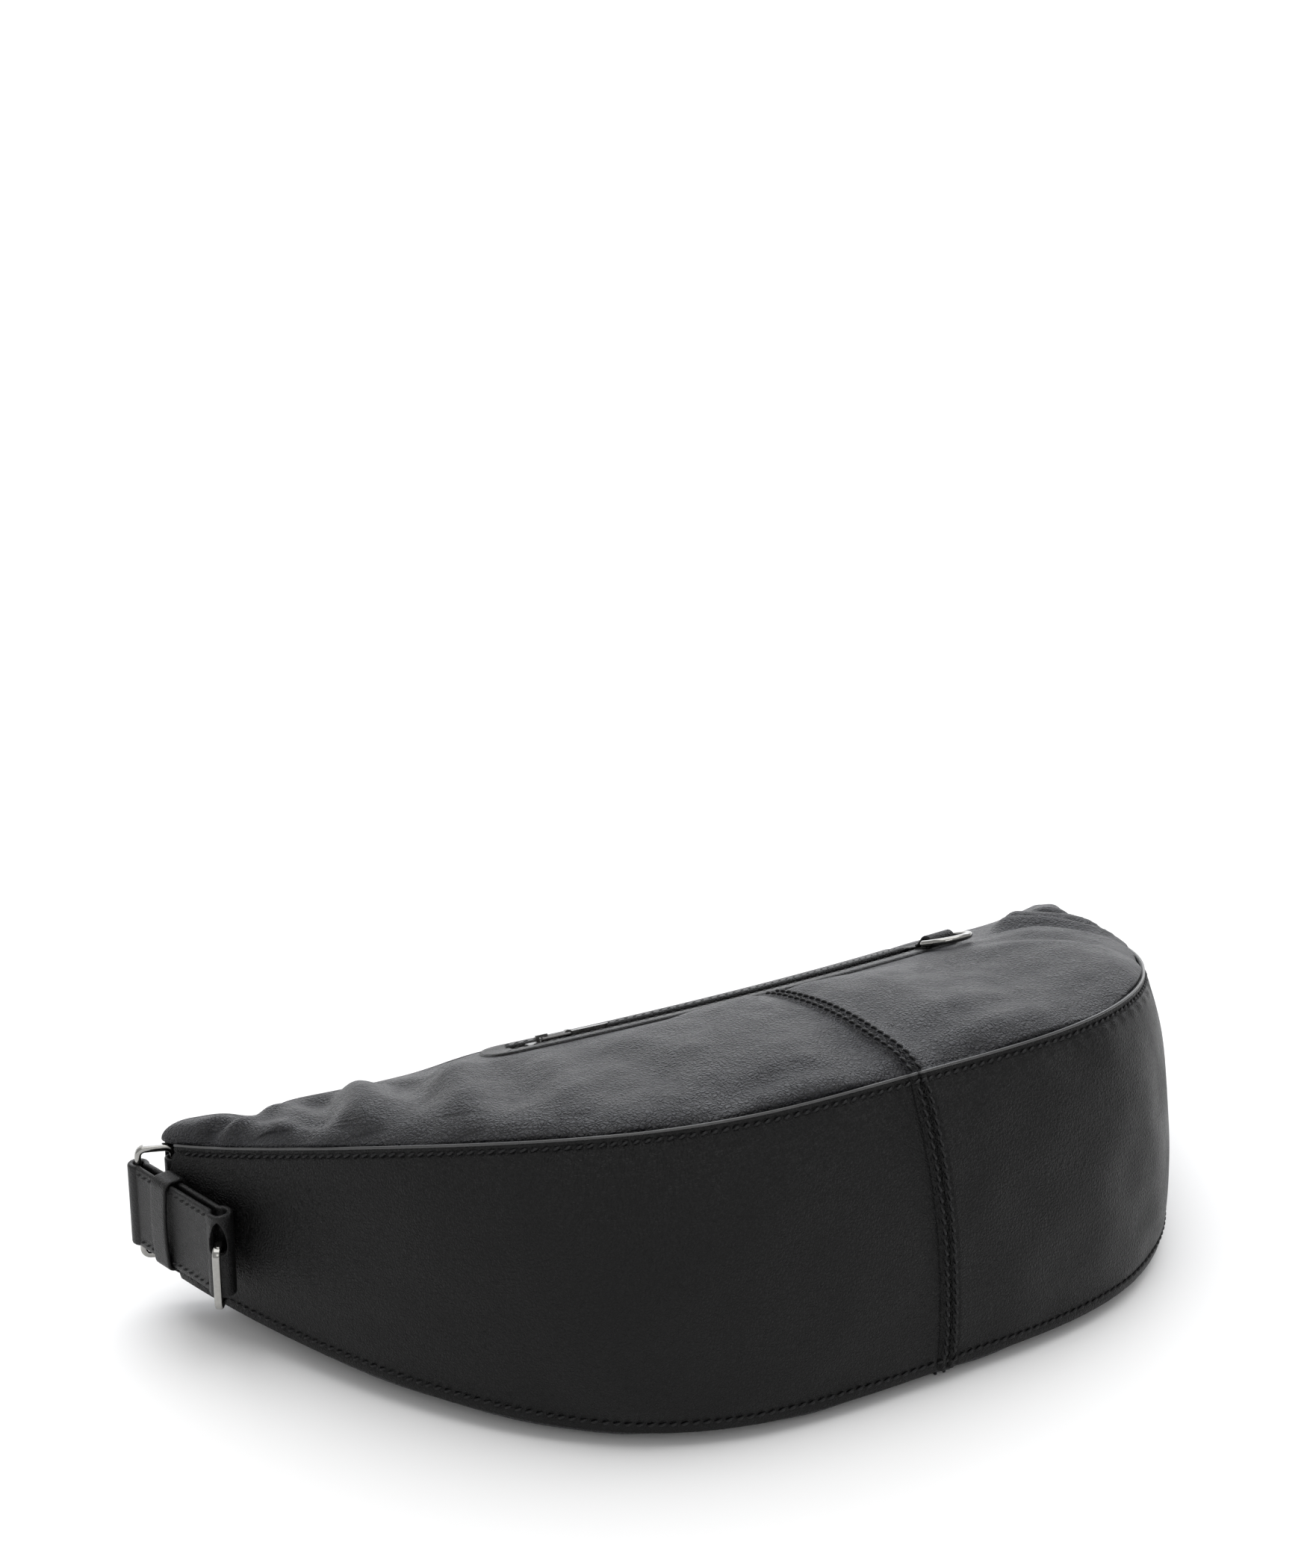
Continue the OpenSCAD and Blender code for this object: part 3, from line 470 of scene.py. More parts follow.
def back_base(q, t):
    """Down the far side, then flat along the surface, then a quarter ellipse up to the gusset's
    lower edge."""
    q, t = np.broadcast_arrays(q, t)
    n, d, w = outward(q), depth_at(q)[..., None], band_half(q)
    foot = np.stack([HALF * q, on_band(phi_of(q), 0)[..., 1] - 0.08 * d[..., 0], rise(q)], -1)
    far = bezier(on_band(phi_of(q), -w), on_band(phi_of(q), -w - 0.14 * d[..., 0]),
                 foot + 0.32 * d * np.array([0, 1.0, 0]), foot, np.clip(2 * t, 0, 1))
    roll = np.minimum(24, 0.3 * d)
    low = low_edge(q)
    start = np.stack([low[..., 0], low[..., 1], rise(q)], -1) - roll * n
    s = np.clip(2 * t - 1, 0, 1)
    flat = foot + (start - foot) * np.clip(s / 0.6, 0, 1)[..., None]
    turn = (np.clip((s - 0.6) / 0.4, 0, 1) * np.pi / 2)[..., None]
    edge = start + roll * np.sin(turn) * n + (low[..., 2:] - start[..., 2:]) * (1 - np.cos(turn)) * UP
    return np.where((t < 0.5)[..., None], far, np.where((s < 0.6)[..., None], flat, edge))


def normal_of(shape, q, t):
    """The direction square to a surface, from the cross product of two small steps on it."""
    e = 1e-3
    q, t = np.broadcast_arrays(q, t)
    a = shape(np.clip(q + e, -TIP, TIP), t) - shape(np.clip(q - e, -TIP, TIP), t)
    b = shape(q, np.clip(t + e, 0, 1)) - shape(q, np.clip(t - e, 0, 1))
    return unit(np.cross(a, b))


print("gusset in the middle runs from", np.round(gusset_base(np.array(0.0), np.array(0.0)), 1),
      "to", np.round(gusset_base(np.array(0.0), np.array(1.0)), 1))

# %% [markdown]
# ## Folds
# Soft leather over a filled bag has broad swells, and near the tips the panel is gathered,
# so it falls into folds that run in towards the tips. A fold is a curved valley with a soft
# shoulder on each side, and it fades out at both of its ends.

# %% Folds and swells


def fold(x, y, a, b, c, width, deep):
    """A valley along the curve a-b-c in plan, deep in the middle: a bell of the distance from it,
    with half as much raised on both shoulders, fading towards the ends like a sine."""
    n = 40
    s = np.linspace(0, 1, n)[:, None]
    line = (1 - s) ** 2 * np.array(a) + 2 * (1 - s) * s * np.array(b) + s ** 2 * np.array(c)
    d2 = (x[..., None] - line[:, 0]) ** 2 + (y[..., None] - line[:, 1]) ** 2
    near = np.argmin(d2, -1)
    d = np.sqrt(np.take_along_axis(d2, near[..., None], -1))[..., 0]
    fade = np.sin(np.pi * (near + 0.5) / n) ** 0.6
    return deep * fade * (0.55 * np.exp(-((d - 1.9 * width) / width) ** 2) - np.exp(-(d / width) ** 2))


FRONT_FOLDS = [
    # the right tip: long smooth pleats that sweep from the tip round to the gusset
    ((106, -44), (168, -40), (192, -96), 5.4, 5.4), ((130, -26), (188, -24), (205, -76), 4.6, 5.0),
    ((156, -12), (206, -10), (215, -50), 4.0, 3.4), ((100, -66), (156, -64), (180, -112), 5.4, 1.9),
    ((96, -96), (132, -98), (160, -132), 6.5, 1.2),
    # the left tip: a round lobe at the very end, then soft folds pulled towards the ring
    ((-196, -12), (-201, -34), (-224, -24), 5.0, 4.2), ((-176, -26), (-182, -66), (-196, -74), 7.5, 4.2),
    ((-148, -40), (-152, -92), (-172, -112), 9.0, 3.8), ((-120, -70), (-128, -122), (-146, -148), 10.0, 3.0),
    ((-90, -110), (-74, -142), (-98, -168), 8.0, 1.2),
    ((-20, -186), (-52, -178), (-84, -184), 5.0, 0.8), ((14, -176), (50, -168), (84, -170), 6.0, 0.7),
]


def front_height(q, t, p):
    """How far the front panel stands off its plain shape: swells and folds, none at its borders."""
    hold = smooth(t / 0.05) * smooth((1 - t) * depth_at(q) / 14)
    x, y = p[..., 0], p[..., 1]
    h = 1.3 * swell(x, y, 105, 3) + 0.4 * swell(x, 1.4 * y, 50, 8) + 0.09 * swell(x, y, 17, 5)
    h = h + sum(fold(x, y, *f) for f in FRONT_FOLDS)
    near = smooth((HALF * TIP - np.abs(HALF * q)) / 10)
    valley = -1.6 * np.exp(-(t * depth_at(q) / 3.0) ** 2)
    return h * hold * near + valley


def seam_ridge(x):
    """Two low ridges either side of a narrow groove: what a seam sewn down on both sides looks like."""
    a = np.abs(x)
    ridges = 0.75 * np.exp(-((a - 2.1) / 1.25) ** 4)
    return ridges - 0.75 * np.exp(-(x / 0.5) ** 2) - 0.35 * np.exp(-((a - 4.3) / 0.8) ** 2)


def front_skin(q, t):
    """The front panel as it lies: plain shape, swells and folds, and the seam down its middle."""
    q, t = np.broadcast_arrays(q, t)
    p = front_base(q, t)
    n = normal_of(front_base, q, t)
    calm = 1 - 0.75 * np.exp(-(HALF * q / 9) ** 2)
    p = p - (tip_drop(q) * smooth(t / 0.9))[..., None] * UP
    return p + n * (front_height(q, t, p) * calm + seam_ridge(HALF * q))[..., None]


def gusset_skin(q, t):
    """The gusset as it stands: very faint swells, grooves along its two stitch rows, a small pucker under its
    upper edge that fades out near its ends, and the seam.
    """
    q, t = np.broadcast_arrays(q, t)
    p = gusset_base(q, t)
    n = normal_of(gusset_base, q, t)
    hold = smooth(t / 0.08) * smooth((1 - t) / 0.08)
    x, z = HALF * q, p[..., 2]
    h = 0.7 * swell(x, z, 120, 21) + 0.25 * swell(x, z, 40, 22)
    from_top = (1 - t) * 1.02 * height(q)
    from_low = t * 1.1 * height(q)
    row = 0.7 * np.exp(-((from_top - 3.2) / 1.3) ** 2) + 0.5 * np.exp(-((from_low - 3.4) / 1.3) ** 2)
    pucker = 0.25 * np.sin(2 * np.pi * x / 8.4) * np.exp(-((from_top - 6.5) / 3.0) ** 2)
    h = h * hold - row + pucker * smooth((0.96 - np.abs(q)) / 0.1)
    return p + n * (h * (1 - 0.8 * np.exp(-(x / 9) ** 2)) + 0.9 + seam_ridge(x))[..., None]


def back_skin(q, t):
    """The back panel as it lies: swells on the far side, flat where it rests, and the seam."""
    q, t = np.broadcast_arrays(q, t)
    p = back_base(q, t)
    n = normal_of(back_base, q, t)
    free = np.clip(p[..., 2] / 14, 0, 1)
    x, z = HALF * q, p[..., 2]
    hold = smooth(t / 0.08) * smooth((1 - t) / 0.06)
    h = (1.4 * swell(x, 2 * z, 70, 31) + 0.7 * swell(x, 3 * z, 30, 32)) * hold
    ridge = seam_ridge(x) * np.clip(p[..., 2] / 2.5, 0, 1)
    p = p - (tip_drop(q) * smooth((0.3 - t) / 0.3))[..., None] * UP
    return p + n * (h * free + ridge)[..., None]


print("folds on the front:", len(FRONT_FOLDS))

# %% [markdown]
# ## The leather walls
# The places along the bag are closer together at the seam and at the tips, where the shape
# changes quickly. The gusset is laid over both panels: its cut edges stand proud, so its
# grid goes round each edge in a half circle and back underneath.

# %% Front, back and gusset
side = np.unique(np.concatenate([np.linspace(0, 0.03, 26), np.linspace(0.03, 0.9, 190),
                                 0.9 + (TIP - 0.9) * np.sin(np.linspace(0, np.pi / 2, 40))]))
places = np.concatenate([-side[:0:-1], side])


def rows(n, near=0.0):
    """n values from 0 to 1, closer together at 0 when near is above 0."""
    s = np.linspace(0, 1, n)
    return (1 - near) * s + near * s ** 2


def patch(shape, q, t):
    """The grid of a wall at places q and rows t."""
    return shape(q[:, None], t[None, :])


front_grid = patch(front_skin, places, rows(120, 0.5))
front = surface("front_leather", front_grid, pebbled)
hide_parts("front_panel_left", "front_panel_right")
back_grid = patch(back_skin, places, rows(130))
back = surface("back_leather", back_grid, pebbled)
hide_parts("back_panel_left", "back_panel_right")


LAP_THICK, LAP_OVER = 1.5, 0.5               # the gusset's leather, and how far it passes its edge
LAP_COLUMNS = 11                             # the turned edge and the three columns beside it


def lapped(shape, q, t, thick, over):
    """A wall laid over its neighbours: the outer rows, then at each edge a half circle of the
    leather's thickness that starts `over` past the edge, and a short return underneath."""
    p = patch(shape, q, t)
    n = normal_of(shape, q[:, None], t[None, :])
    r = thick / 2
    turn = np.linspace(0, np.pi, 7)[None, :, None]
    low_t, top_t = unit(p[:, :1] - p[:, 1:2]), unit(p[:, -1:] - p[:, -2:-1])
    parts = []
    for edge, tangent, normal, back_first in ((p[:, :1], low_t, n[:, :1], True),
                                              (p[:, -1:], top_t, n[:, -1:], False)):
        centre = edge + tangent * over - normal * r
        ring = centre + r * (normal * np.cos(turn) + tangent * np.sin(turn))
        under = edge - tangent * 4 - normal * thick
        piece = np.concatenate([ring, under], 1)
        parts.append(piece[:, ::-1] if back_first else piece)
    return np.concatenate([parts[0], p, parts[1]], 1)


gusset_t = 0.5 - 0.5 * np.cos(np.linspace(0, np.pi, 90))
gusset_grid = lapped(gusset_skin, places, gusset_t, LAP_THICK, LAP_OVER)
gusset = surface("gusset_leather", gusset_grid, smooth_hide)
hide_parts("gusset_left", "gusset_right")
BEAD_R = 0.65
bead_q = np.linspace(-TIP, TIP, 900)
bead_edge = gusset_skin(bead_q, np.ones(900))
bead_n = normal_of(gusset_skin, bead_q, np.ones(900))
bead_up = unit(bead_edge - gusset_skin(bead_q, np.full(900, 0.985)))
around = np.linspace(0, 2 * np.pi, 11)[:-1]
bead_grid = (bead_edge + LAP_OVER * bead_up - 0.2 * bead_n)[:, None] + BEAD_R * (
    np.cos(around)[None, :, None] * bead_n[:, None] + np.sin(around)[None, :, None] * bead_up[:, None])
bead = surface("gusset_painted_edge", bead_grid, edge_paint, wrap_v=True, caps=True)


CAP_DEEP = 7.0


def tip_cap(name, end, outwards):
    """Closes the walls' open end (0 or -1): the loop of its edge is drawn in to its middle and
    CAP_DEEP into the bag, like a bowl."""
    loop = np.concatenate([gusset_grid[end, LAP_COLUMNS:-LAP_COLUMNS], front_grid[end], back_grid[end]])
    centre = loop.mean(0)
    s = np.cos(np.linspace(0, np.pi / 2, 9))[:, None, None]
    sunk = np.sqrt(np.clip(1 - s * s, 0, 1)) * CAP_DEEP * np.array([outwards, 0, 0])
    cap = surface(name, centre + (loop[None] - centre) * np.maximum(s, 0.01) - sunk, smooth_hide, wrap_v=True)


tip_cap("tip_cap_left", 0, -1.0)
tip_cap("tip_cap_right", -1, 1.0)
print("leather walls:", [len(o.data.polygons) for o in (front, back, gusset)])

# %% [markdown]
# ## Stitches
# A stitch is a short fat capsule that dips into the leather at both ends and lies a little
# across its row. One capsule is worked out, and then copied along the row in one array.

# %% Stitch rows


def along(line, normals, pitch):
    """Points every pitch along a line, with the direction and the normal there."""
    run = np.concatenate([[0], np.cumsum(np.linalg.norm(np.diff(line, axis=0), axis=1))])
    s = pitch * (np.arange(int(run[-1] / pitch)) + 0.5)
    place = np.stack([np.interp(s, run, line[:, k]) for k in range(3)], -1)
    normal = unit(np.stack([np.interp(s, run, normals[:, k]) for k in range(3)], -1))
    ahead = np.stack([np.interp(s + 0.3, run, line[:, k]) for k in range(3)], -1)
    behind = np.stack([np.interp(s - 0.3, run, line[:, k]) for k in range(3)], -1)
    tangent = unit(ahead - behind)
    return place, tangent, unit(normal - (normal * tangent).sum(-1, keepdims=True) * tangent)


def stitches(name, lines, body="bag", pitch=4.2, long=3.4, thick=1.3, slant=22, lift=0.2):
    """Capsules along rows. Each is seven rings of six points; the radius follows a half circle
    at its ends, and the middle line rises and falls like a sine."""
    a = np.linspace(-1, 1, 7)
    radius = np.sqrt(np.clip(1 - np.abs(a) ** 3.2, 0.02, None)) * thick / 2
    arch = lift + 0.22 * thick * np.cos(a * np.pi / 2) - 0.3 * thick * np.abs(a) ** 3
    b = np.arange(6) * np.pi / 3
    ring = np.stack(np.broadcast_arrays(a[:, None] * long / 2, radius[:, None] * np.cos(b),
                                        arch[:, None] + radius[:, None] * np.sin(b)), -1)
    c, s = math.cos(math.radians(slant)), math.sin(math.radians(slant))
    ring = np.stack([ring[..., 0] * c - ring[..., 1] * s, ring[..., 0] * s + ring[..., 1] * c,
                     ring[..., 2]], -1)
    verts, count = [], 0
    for line, normals in lines:
        place, tangent, normal = along(line, normals, pitch)
        across = np.cross(normal, tangent)
        axes = np.stack([tangent, across, normal], 1)
        verts.append(place[:, None, None] + np.einsum("abk,nkj->nabj", ring, axes))
        count += len(place)
    v = np.concatenate(verts).reshape(-1, 3)
    na, nb = len(a), len(b)
    i, j = np.meshgrid(np.arange(na - 1), np.arange(nb), indexing="ij")
    j2 = (j + 1) % nb
    one = np.stack([i * nb + j, (i + 1) * nb + j, (i + 1) * nb + j2, i * nb + j2], -1).reshape(-1, 4)
    first = (np.arange(count) * na * nb)[:, None, None]
    quads = (one[None] + first).reshape(-1, 4)
    ends = np.stack([np.arange(nb)[::-1], np.arange(nb) + (na - 1) * nb])
    lids = (ends[None] + first).reshape(-1, nb)
    mesh = bpy.data.meshes.new(name)
    mesh.from_pydata(((v + ORIGIN) * MM).tolist(), [], quads[:, ::-1].tolist() + lids[:, ::-1].tolist())
    mesh.polygons.foreach_set("use_smooth", [True] * len(mesh.polygons))
    mesh.materials.append(thread)
    obj = bpy.data.objects.new(name, mesh)
    bpy.context.scene.collection.objects.link(obj)
    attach(obj, body)
    print(name, count, "stitches")


def row_on(shape, q, t):
    """A row's line and normals on a wall, at places q and rows t."""
    return shape(q, t), normal_of(shape, q, t)


row_q = np.linspace(-0.985, 0.985, 900)
top_row = row_on(gusset_skin, row_q, 1 - 3.2 / (1.02 * height(row_q)))
low_row = row_on(gusset_skin, row_q, 3.4 / (1.1 * height(row_q)))
stitches("gusset_edge_stitches", [top_row, low_row])
seam_rows = []
for x in (-2.1, 2.1):
    for wall, start, end, n in ((gusset_skin, 0.045, 0.955, 200), (front_skin, 0.02, 0.97, 200),
                                (back_skin, 0.03, 0.42, 200), (back_skin, 0.88, 0.985, 60)):
        seam_rows.append(row_on(wall, np.full(n, x / HALF), np.linspace(start, end, n)))
stitches("centre_seam_stitches", seam_rows, slant=16)

# %% [markdown]
# ## Bands and bars
# The straps, loops and rings are all one profile carried along a flat path. The path's plane
# gives one steady direction, and the direction across it is square to both.

# %% Sweeps


def rounded(width, thick, r, n=5):
    """The outline of a rectangle width by thick with corners of radius r, as points round it."""
    a = np.linspace(0, np.pi / 2, n)
    quarters = []
    for k, (sx, sy) in enumerate(((1, 1), (-1, 1), (-1, -1), (1, -1))):
        turn = a + k * np.pi / 2
        quarters.append(np.stack([sx * (width / 2 - r) + r * np.cos(turn),
                                  sy * (thick / 2 - r) + r * np.sin(turn)], -1))
    return np.concatenate(quarters)


def sweep(path, plane, profile, closed=False):
    """The profile's first coordinate runs along the plane's normal and its second across the path."""
    path, plane = np.asarray(path, float), unit(np.asarray(plane, float))
    if closed:
        tangent = unit(np.roll(path, -1, 0) - np.roll(path, 1, 0))
    else:
        tangent = unit(np.gradient(path, axis=0))
    across = unit(np.cross(tangent, plane))
    prof = np.asarray(profile, float)
    if prof.ndim == 2:
        prof = np.broadcast_to(prof, (len(path),) + prof.shape)
    return path[:, None] + prof[..., :1] * plane + prof[..., 1:] * across[:, None]


def arc(centre, r, a0, a1, n):
    """Points on a circle in plan, from angle a0 to a1 in degrees."""
    a = np.radians(np.linspace(a0, a1, n))
    return np.array(centre, float) + r * np.stack([np.cos(a), np.sin(a)], -1)


def smooth_path(points, step):
    """The same line resampled at even steps."""
    p = np.asarray(points, float)
    run = np.concatenate([[0], np.cumsum(np.linalg.norm(np.diff(p, axis=0), axis=1))])
    s = np.linspace(0, run[-1], max(int(run[-1] / step), 2) + 1)
    return np.stack([np.interp(s, run, p[:, k]) for k in range(p.shape[1])], -1)


print("sweeps ready")

# %% [markdown]
# ## End rings
# The rings are flat polished band, bent into a rounded rectangle and welded. A flat band
# catches the light in long straight lines, which a round wire would not.

# %% Rings at both ends
RING_IN = np.array([226.5, -4.3])
RING_TURN, REACH, RING_Z, RING_H = math.radians(21), 14.0, 46.2, 47.1
RING_OUT = RING_IN + REACH * np.array([math.cos(RING_TURN), math.sin(RING_TURN)])


def ring_path(start, end, z, tall, corner, n=9):
    """A rounded rectangle standing on the line from start to end in plan."""
    reach = np.linalg.norm(end - start)
    d = (end - start) / reach
    turns = []
    for cx, cz, a0 in ((reach - corner, tall / 2 - corner, 0), (corner, tall / 2 - corner, 90),
                       (corner, -tall / 2 + corner, 180), (reach - corner, -tall / 2 + corner, 270)):
        turns.append(arc((cx, cz), corner, a0, a0 + 90, n))
    flat = smooth_path(np.concatenate(turns + [turns[0][:1]]), 0.8)[:-1]
    xyz = np.stack([start[0] + d[0] * flat[:, 0], start[1] + d[1] * flat[:, 0], z + flat[:, 1]], -1)
    return xyz, np.array([-d[1], d[0], 0.0])


def band_ring(name, start, end, z, tall, corner, width, thick, body, node):
    """A ring of flat band: its width runs square to the ring's own plane."""
    path, plane = ring_path(start, end, z, tall, corner)
    grid = sweep(path, plane, rounded(width, thick, min(thick, width) * 0.32), closed=True)
    ring = surface(name, grid, nickel, body=body, wrap_u=True, wrap_v=True, flip=True)
    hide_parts(node)


mirror_x = np.array([-1.0, 1.0])
RING_BAND = (2.9, 3.7, 2.7)                  # corner radius, width and thickness of the band
band_ring("end_ring_band_left", RING_IN * mirror_x, RING_OUT * mirror_x, RING_Z, RING_H, *RING_BAND,
          "ring_left", "end_ring_left")
band_ring("end_ring_band_right", RING_IN, RING_OUT, RING_Z, RING_H, *RING_BAND,
          "ring_right", "end_ring_right")

# %% [markdown]
# ## The short buckle tab
# A strip of leather goes round the end ring and is sewn to itself, and its other end is
# folded round a second ring, which comes out through a slot. Two layers lie on each other,
# so the path goes down one side and back up the other.

# %% Buckle tab
TAB_TURN, TAB_LEN, STRAP_W = math.radians(-79), 57.0, 35.5
TAB_AT = RING_OUT * mirror_x
tab_x = np.array([math.cos(TAB_TURN), math.sin(TAB_TURN)])
tab_y = np.array([-tab_x[1], tab_x[0]])


def tab_frame(flat):
    """Points of the tab's own plan turned and moved to its place."""
    flat = np.asarray(flat, float)
    return TAB_AT + flat[..., :1] * tab_x + flat[..., 1:] * tab_y


def tab_outline():
    """The middle line of the leather: round the bar, along one side, round the fold and back."""
    r1, r2, half = 1.9 + 1.3, 2.8 + 1.3, 2.2
    x1, x2 = math.sqrt(r1 ** 2 - half ** 2) + 2.5, TAB_LEN - math.sqrt(r2 ** 2 - half ** 2) - 2.5
    a1, a2 = 38, 32
    left = arc((0, 0), r1, a1, 360 - a1, 30)
    right = arc((TAB_LEN, 0), r2, -180 + a2, 180 - a2, 34)
    lower = np.stack([np.linspace(x1, x2, 24), np.full(24, -half)], -1)
    upper = np.stack([np.linspace(x2, x1, 24), np.full(24, half)], -1)
    return np.concatenate([left, lower, right, upper])


outline = smooth_path(np.concatenate([tab_outline(), tab_outline()[:1]]), 0.7)[:-1]
print("tab outline points:", len(outline))


def strip_profile(width, thick, r, count):
    """The outline of a strip's section, rounded at its corners, with count points along each wide side."""
    corners = rounded(width, thick, r, 4)
    up = np.stack([np.linspace(width / 2 - r, r - width / 2, count), np.full(count, thick / 2)], -1)[1:-1]
    return np.concatenate([corners[:4], up, corners[4:12], up[::-1] * [1, -1], corners[12:]])


tab_plan = tab_frame(outline)
tab_path = np.concatenate([tab_plan, np.full((len(tab_plan), 1), RING_Z)], -1)
tab_grid = sweep(tab_path, (0, 0, 1), strip_profile(STRAP_W, 2.5, 1.0, 22), closed=True)

# %% [markdown]
# The slot is cut out of the fold with a teardrop-shaped cutter, after the leather round it
# has been pushed outwards a little, so that the slot gets the thick lips of bent leather.

# %% Slot in the fold
FOLD_AT = np.append(tab_frame((TAB_LEN, 0.0)), 0.0)
SLOT_LOW, SLOT_TOP = RING_Z + 1.2, RING_Z + 15.5
slot_way = np.append(math.cos(-math.pi / 4) * tab_x + math.sin(-math.pi / 4) * tab_y, 0.0)
slot_side = np.array([-slot_way[1], slot_way[0], 0.0])


def slot_half(z):
    """Half the slot's width at height z: round at the bottom, drawn to a point at the top."""
    s = np.clip((z - SLOT_LOW) / (SLOT_TOP - SLOT_LOW), 0, 1)
    return 5.7 * s ** 0.25 * (1 - s) ** 0.6


away = tab_grid - FOLD_AT
near_fold = (away[..., 0] * slot_way[0] + away[..., 1] * slot_way[1]) > 0.5
gap_to_slot = np.abs(away @ slot_side) - slot_half(tab_grid[..., 2])
in_reach = near_fold & (np.abs(tab_grid[..., 2] - (SLOT_LOW + SLOT_TOP) / 2) < 11)
swollen = np.where(in_reach, 0.7 * np.exp(-(np.clip(gap_to_slot, 0, None) / 1.6) ** 2), 0)
tab_grid = tab_grid + swollen[..., None] * slot_way
tab = surface("buckle_tab_leather", tab_grid, strap_hide, body="tab", wrap_u=True, wrap_v=True, flip=True)
z_cut = np.linspace(SLOT_LOW + 0.05, SLOT_TOP - 0.05, 18)
rim = np.concatenate([np.stack([slot_half(z_cut), z_cut], -1),
                      np.stack([-slot_half(z_cut), z_cut], -1)[::-1]])
cut_grid = np.stack([FOLD_AT + slot_way * d + slot_side * rim[:, :1] + UP * rim[:, 1:] for d in (0.8, 12.0)])
cutter = surface("slot_cutter", cut_grid, strap_hide, body="tab", wrap_v=True, caps=True)


def cut_out(obj, tool):
    """Takes the tool's volume out of the object for good and removes the tool."""
    cut = obj.modifiers.new("slot", "BOOLEAN")
    cut.operation, cut.solver, cut.object = "DIFFERENCE", "EXACT", tool
    seen = obj.evaluated_get(bpy.context.evaluated_depsgraph_get())
    mesh = bpy.data.meshes.new_from_object(seen)
    obj.modifiers.clear()
    obj.data = mesh
    bpy.data.objects.remove(tool)
    return len(mesh.polygons)


print("tab faces after the slot is cut:", cut_out(tab, cutter))
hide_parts("buckle_tab")

# %% [markdown]
# ## Stitches on the tab, the keeper and the buckle ring
# The tab is stitched 2.7 mm inside both edges. The keeper is a narrow loop of the same
# leather, and it bulges a little away from the strap.

# %% Stitches on the tab


def flat_rows(flat, z, normal_side):
    """A row along a line in the tab's plan at height z, with its outward direction."""
    line = np.concatenate([tab_frame(flat), np.full((len(flat), 1), z)], -1)
    facing = np.append(tab_y * normal_side, 0.0)
    return line, np.broadcast_to(facing, line.shape)


outer_side = np.array([p for p in outline if p[1] < -2.0 and 3 < p[0] < TAB_LEN - 1])
outer_side = outer_side[np.argsort(outer_side[:, 0])] - [0, 1.25]
tab_rows = [flat_rows(outer_side, RING_Z + s * (STRAP_W / 2 - 2.7), -1.0) for s in (-1, 1)]
stitches("tab_stitches", tab_rows, body="tab", pitch=3.8, long=3.0, thick=0.9)

# %% Keeper
KEEPER_X, KEEPER_W = 17.0, 10.0
k_half, k_tall, k_corner = 4.55, STRAP_W / 2 + 1.05, 2.4
keeper_loop = []
for sy, sz, a0 in ((1, 1, 0), (-1, 1, 90), (-1, -1, 180), (1, -1, 270)):
    corner_at = (sy * (k_half - k_corner), sz * (k_tall - k_corner))
    keeper_loop.append(arc(corner_at, k_corner, a0, a0 + 90, 8))
keeper_flat = smooth_path(np.concatenate(keeper_loop + [keeper_loop[0][:1]]), 0.8)[:-1]
bulge = np.where(keeper_flat[:, 0] < 0, -1.0, 0.0) * np.cos(np.pi * keeper_flat[:, 1] / (2 * k_tall))
keeper_mid = np.full(len(keeper_flat), KEEPER_X + KEEPER_W / 2)
keeper_plan = tab_frame(np.stack([keeper_mid, keeper_flat[:, 0] + bulge], -1))
keeper_path = np.concatenate([keeper_plan, keeper_flat[:, 1:] + RING_Z], -1)
keeper_grid = sweep(keeper_path, np.append(tab_x, 0.0), strip_profile(KEEPER_W, 1.7, 0.7, 6), closed=True)
keeper = surface("keeper_leather", keeper_grid, strap_hide, body="keeper", wrap_u=True, wrap_v=True,
                 flip=True)
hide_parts("strap_keeper")

# %% Buckle ring
BUCKLE_Z, BUCKLE_H = 38.9, 24.5
buckle_start = tab_frame((TAB_LEN, 0.0))
buckle_end = buckle_start + 10 * slot_way[:2]
BUCKLE_BAND = (2.7, 3.1, 2.2)
band_ring("buckle_ring_band", buckle_start, buckle_end, BUCKLE_Z, BUCKLE_H, *BUCKLE_BAND,
          "tab_ring", "buckle_ring")

# %% [markdown]
# ## Loops that hold the end rings
# Each end ring hangs in a loop of leather whose two ends are sewn into the tip of the bag.

# %% Ring loops


def ring_loop(name, centre, heading, tall, node):
    """A strip round the ring's inner bar: in along one side, round the bar and out along the other."""
    t = np.array([math.cos(math.radians(heading)), math.sin(math.radians(heading))])
    n = np.array([-t[1], t[0]])
    start = [centre + 14 * t + 1.0 * n, centre + 9 * t + 1.0 * n, centre + 5 * t + 1.3 * n]
    turn = arc(centre, 2.8, heading + 42, heading + 318, 24)
    end = [centre + 5 * t - 1.3 * n, centre + 9 * t - 1.0 * n, centre + 14 * t - 1.0 * n]
    flat = smooth_path(np.concatenate([start, turn, end]), 0.6)
    path = np.concatenate([flat, np.full((len(flat), 1), RING_Z)], -1)
    grid = sweep(path, (0, 0, 1), strip_profile(tall, 1.7, 0.6, 8))
    loop = surface(name, grid, strap_hide, wrap_v=True, flip=True, caps=True)
    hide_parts(node)


ring_loop("ring_loop_left", RING_IN * mirror_x, -43, 38.0, "ring_tab_left")
ring_loop("ring_loop_right", RING_IN, -137, 38.0, "ring_tab_right")
print("ring loops ready")

# %% [markdown]
# ## The zip
# The zip lies in the tilted band along the top. A padded frame of leather runs round the
# opening like a long stadium, and flat strips go on from its ends to the tips. Points are
# worked out on the flat band first, as distance along, distance out and height above it.

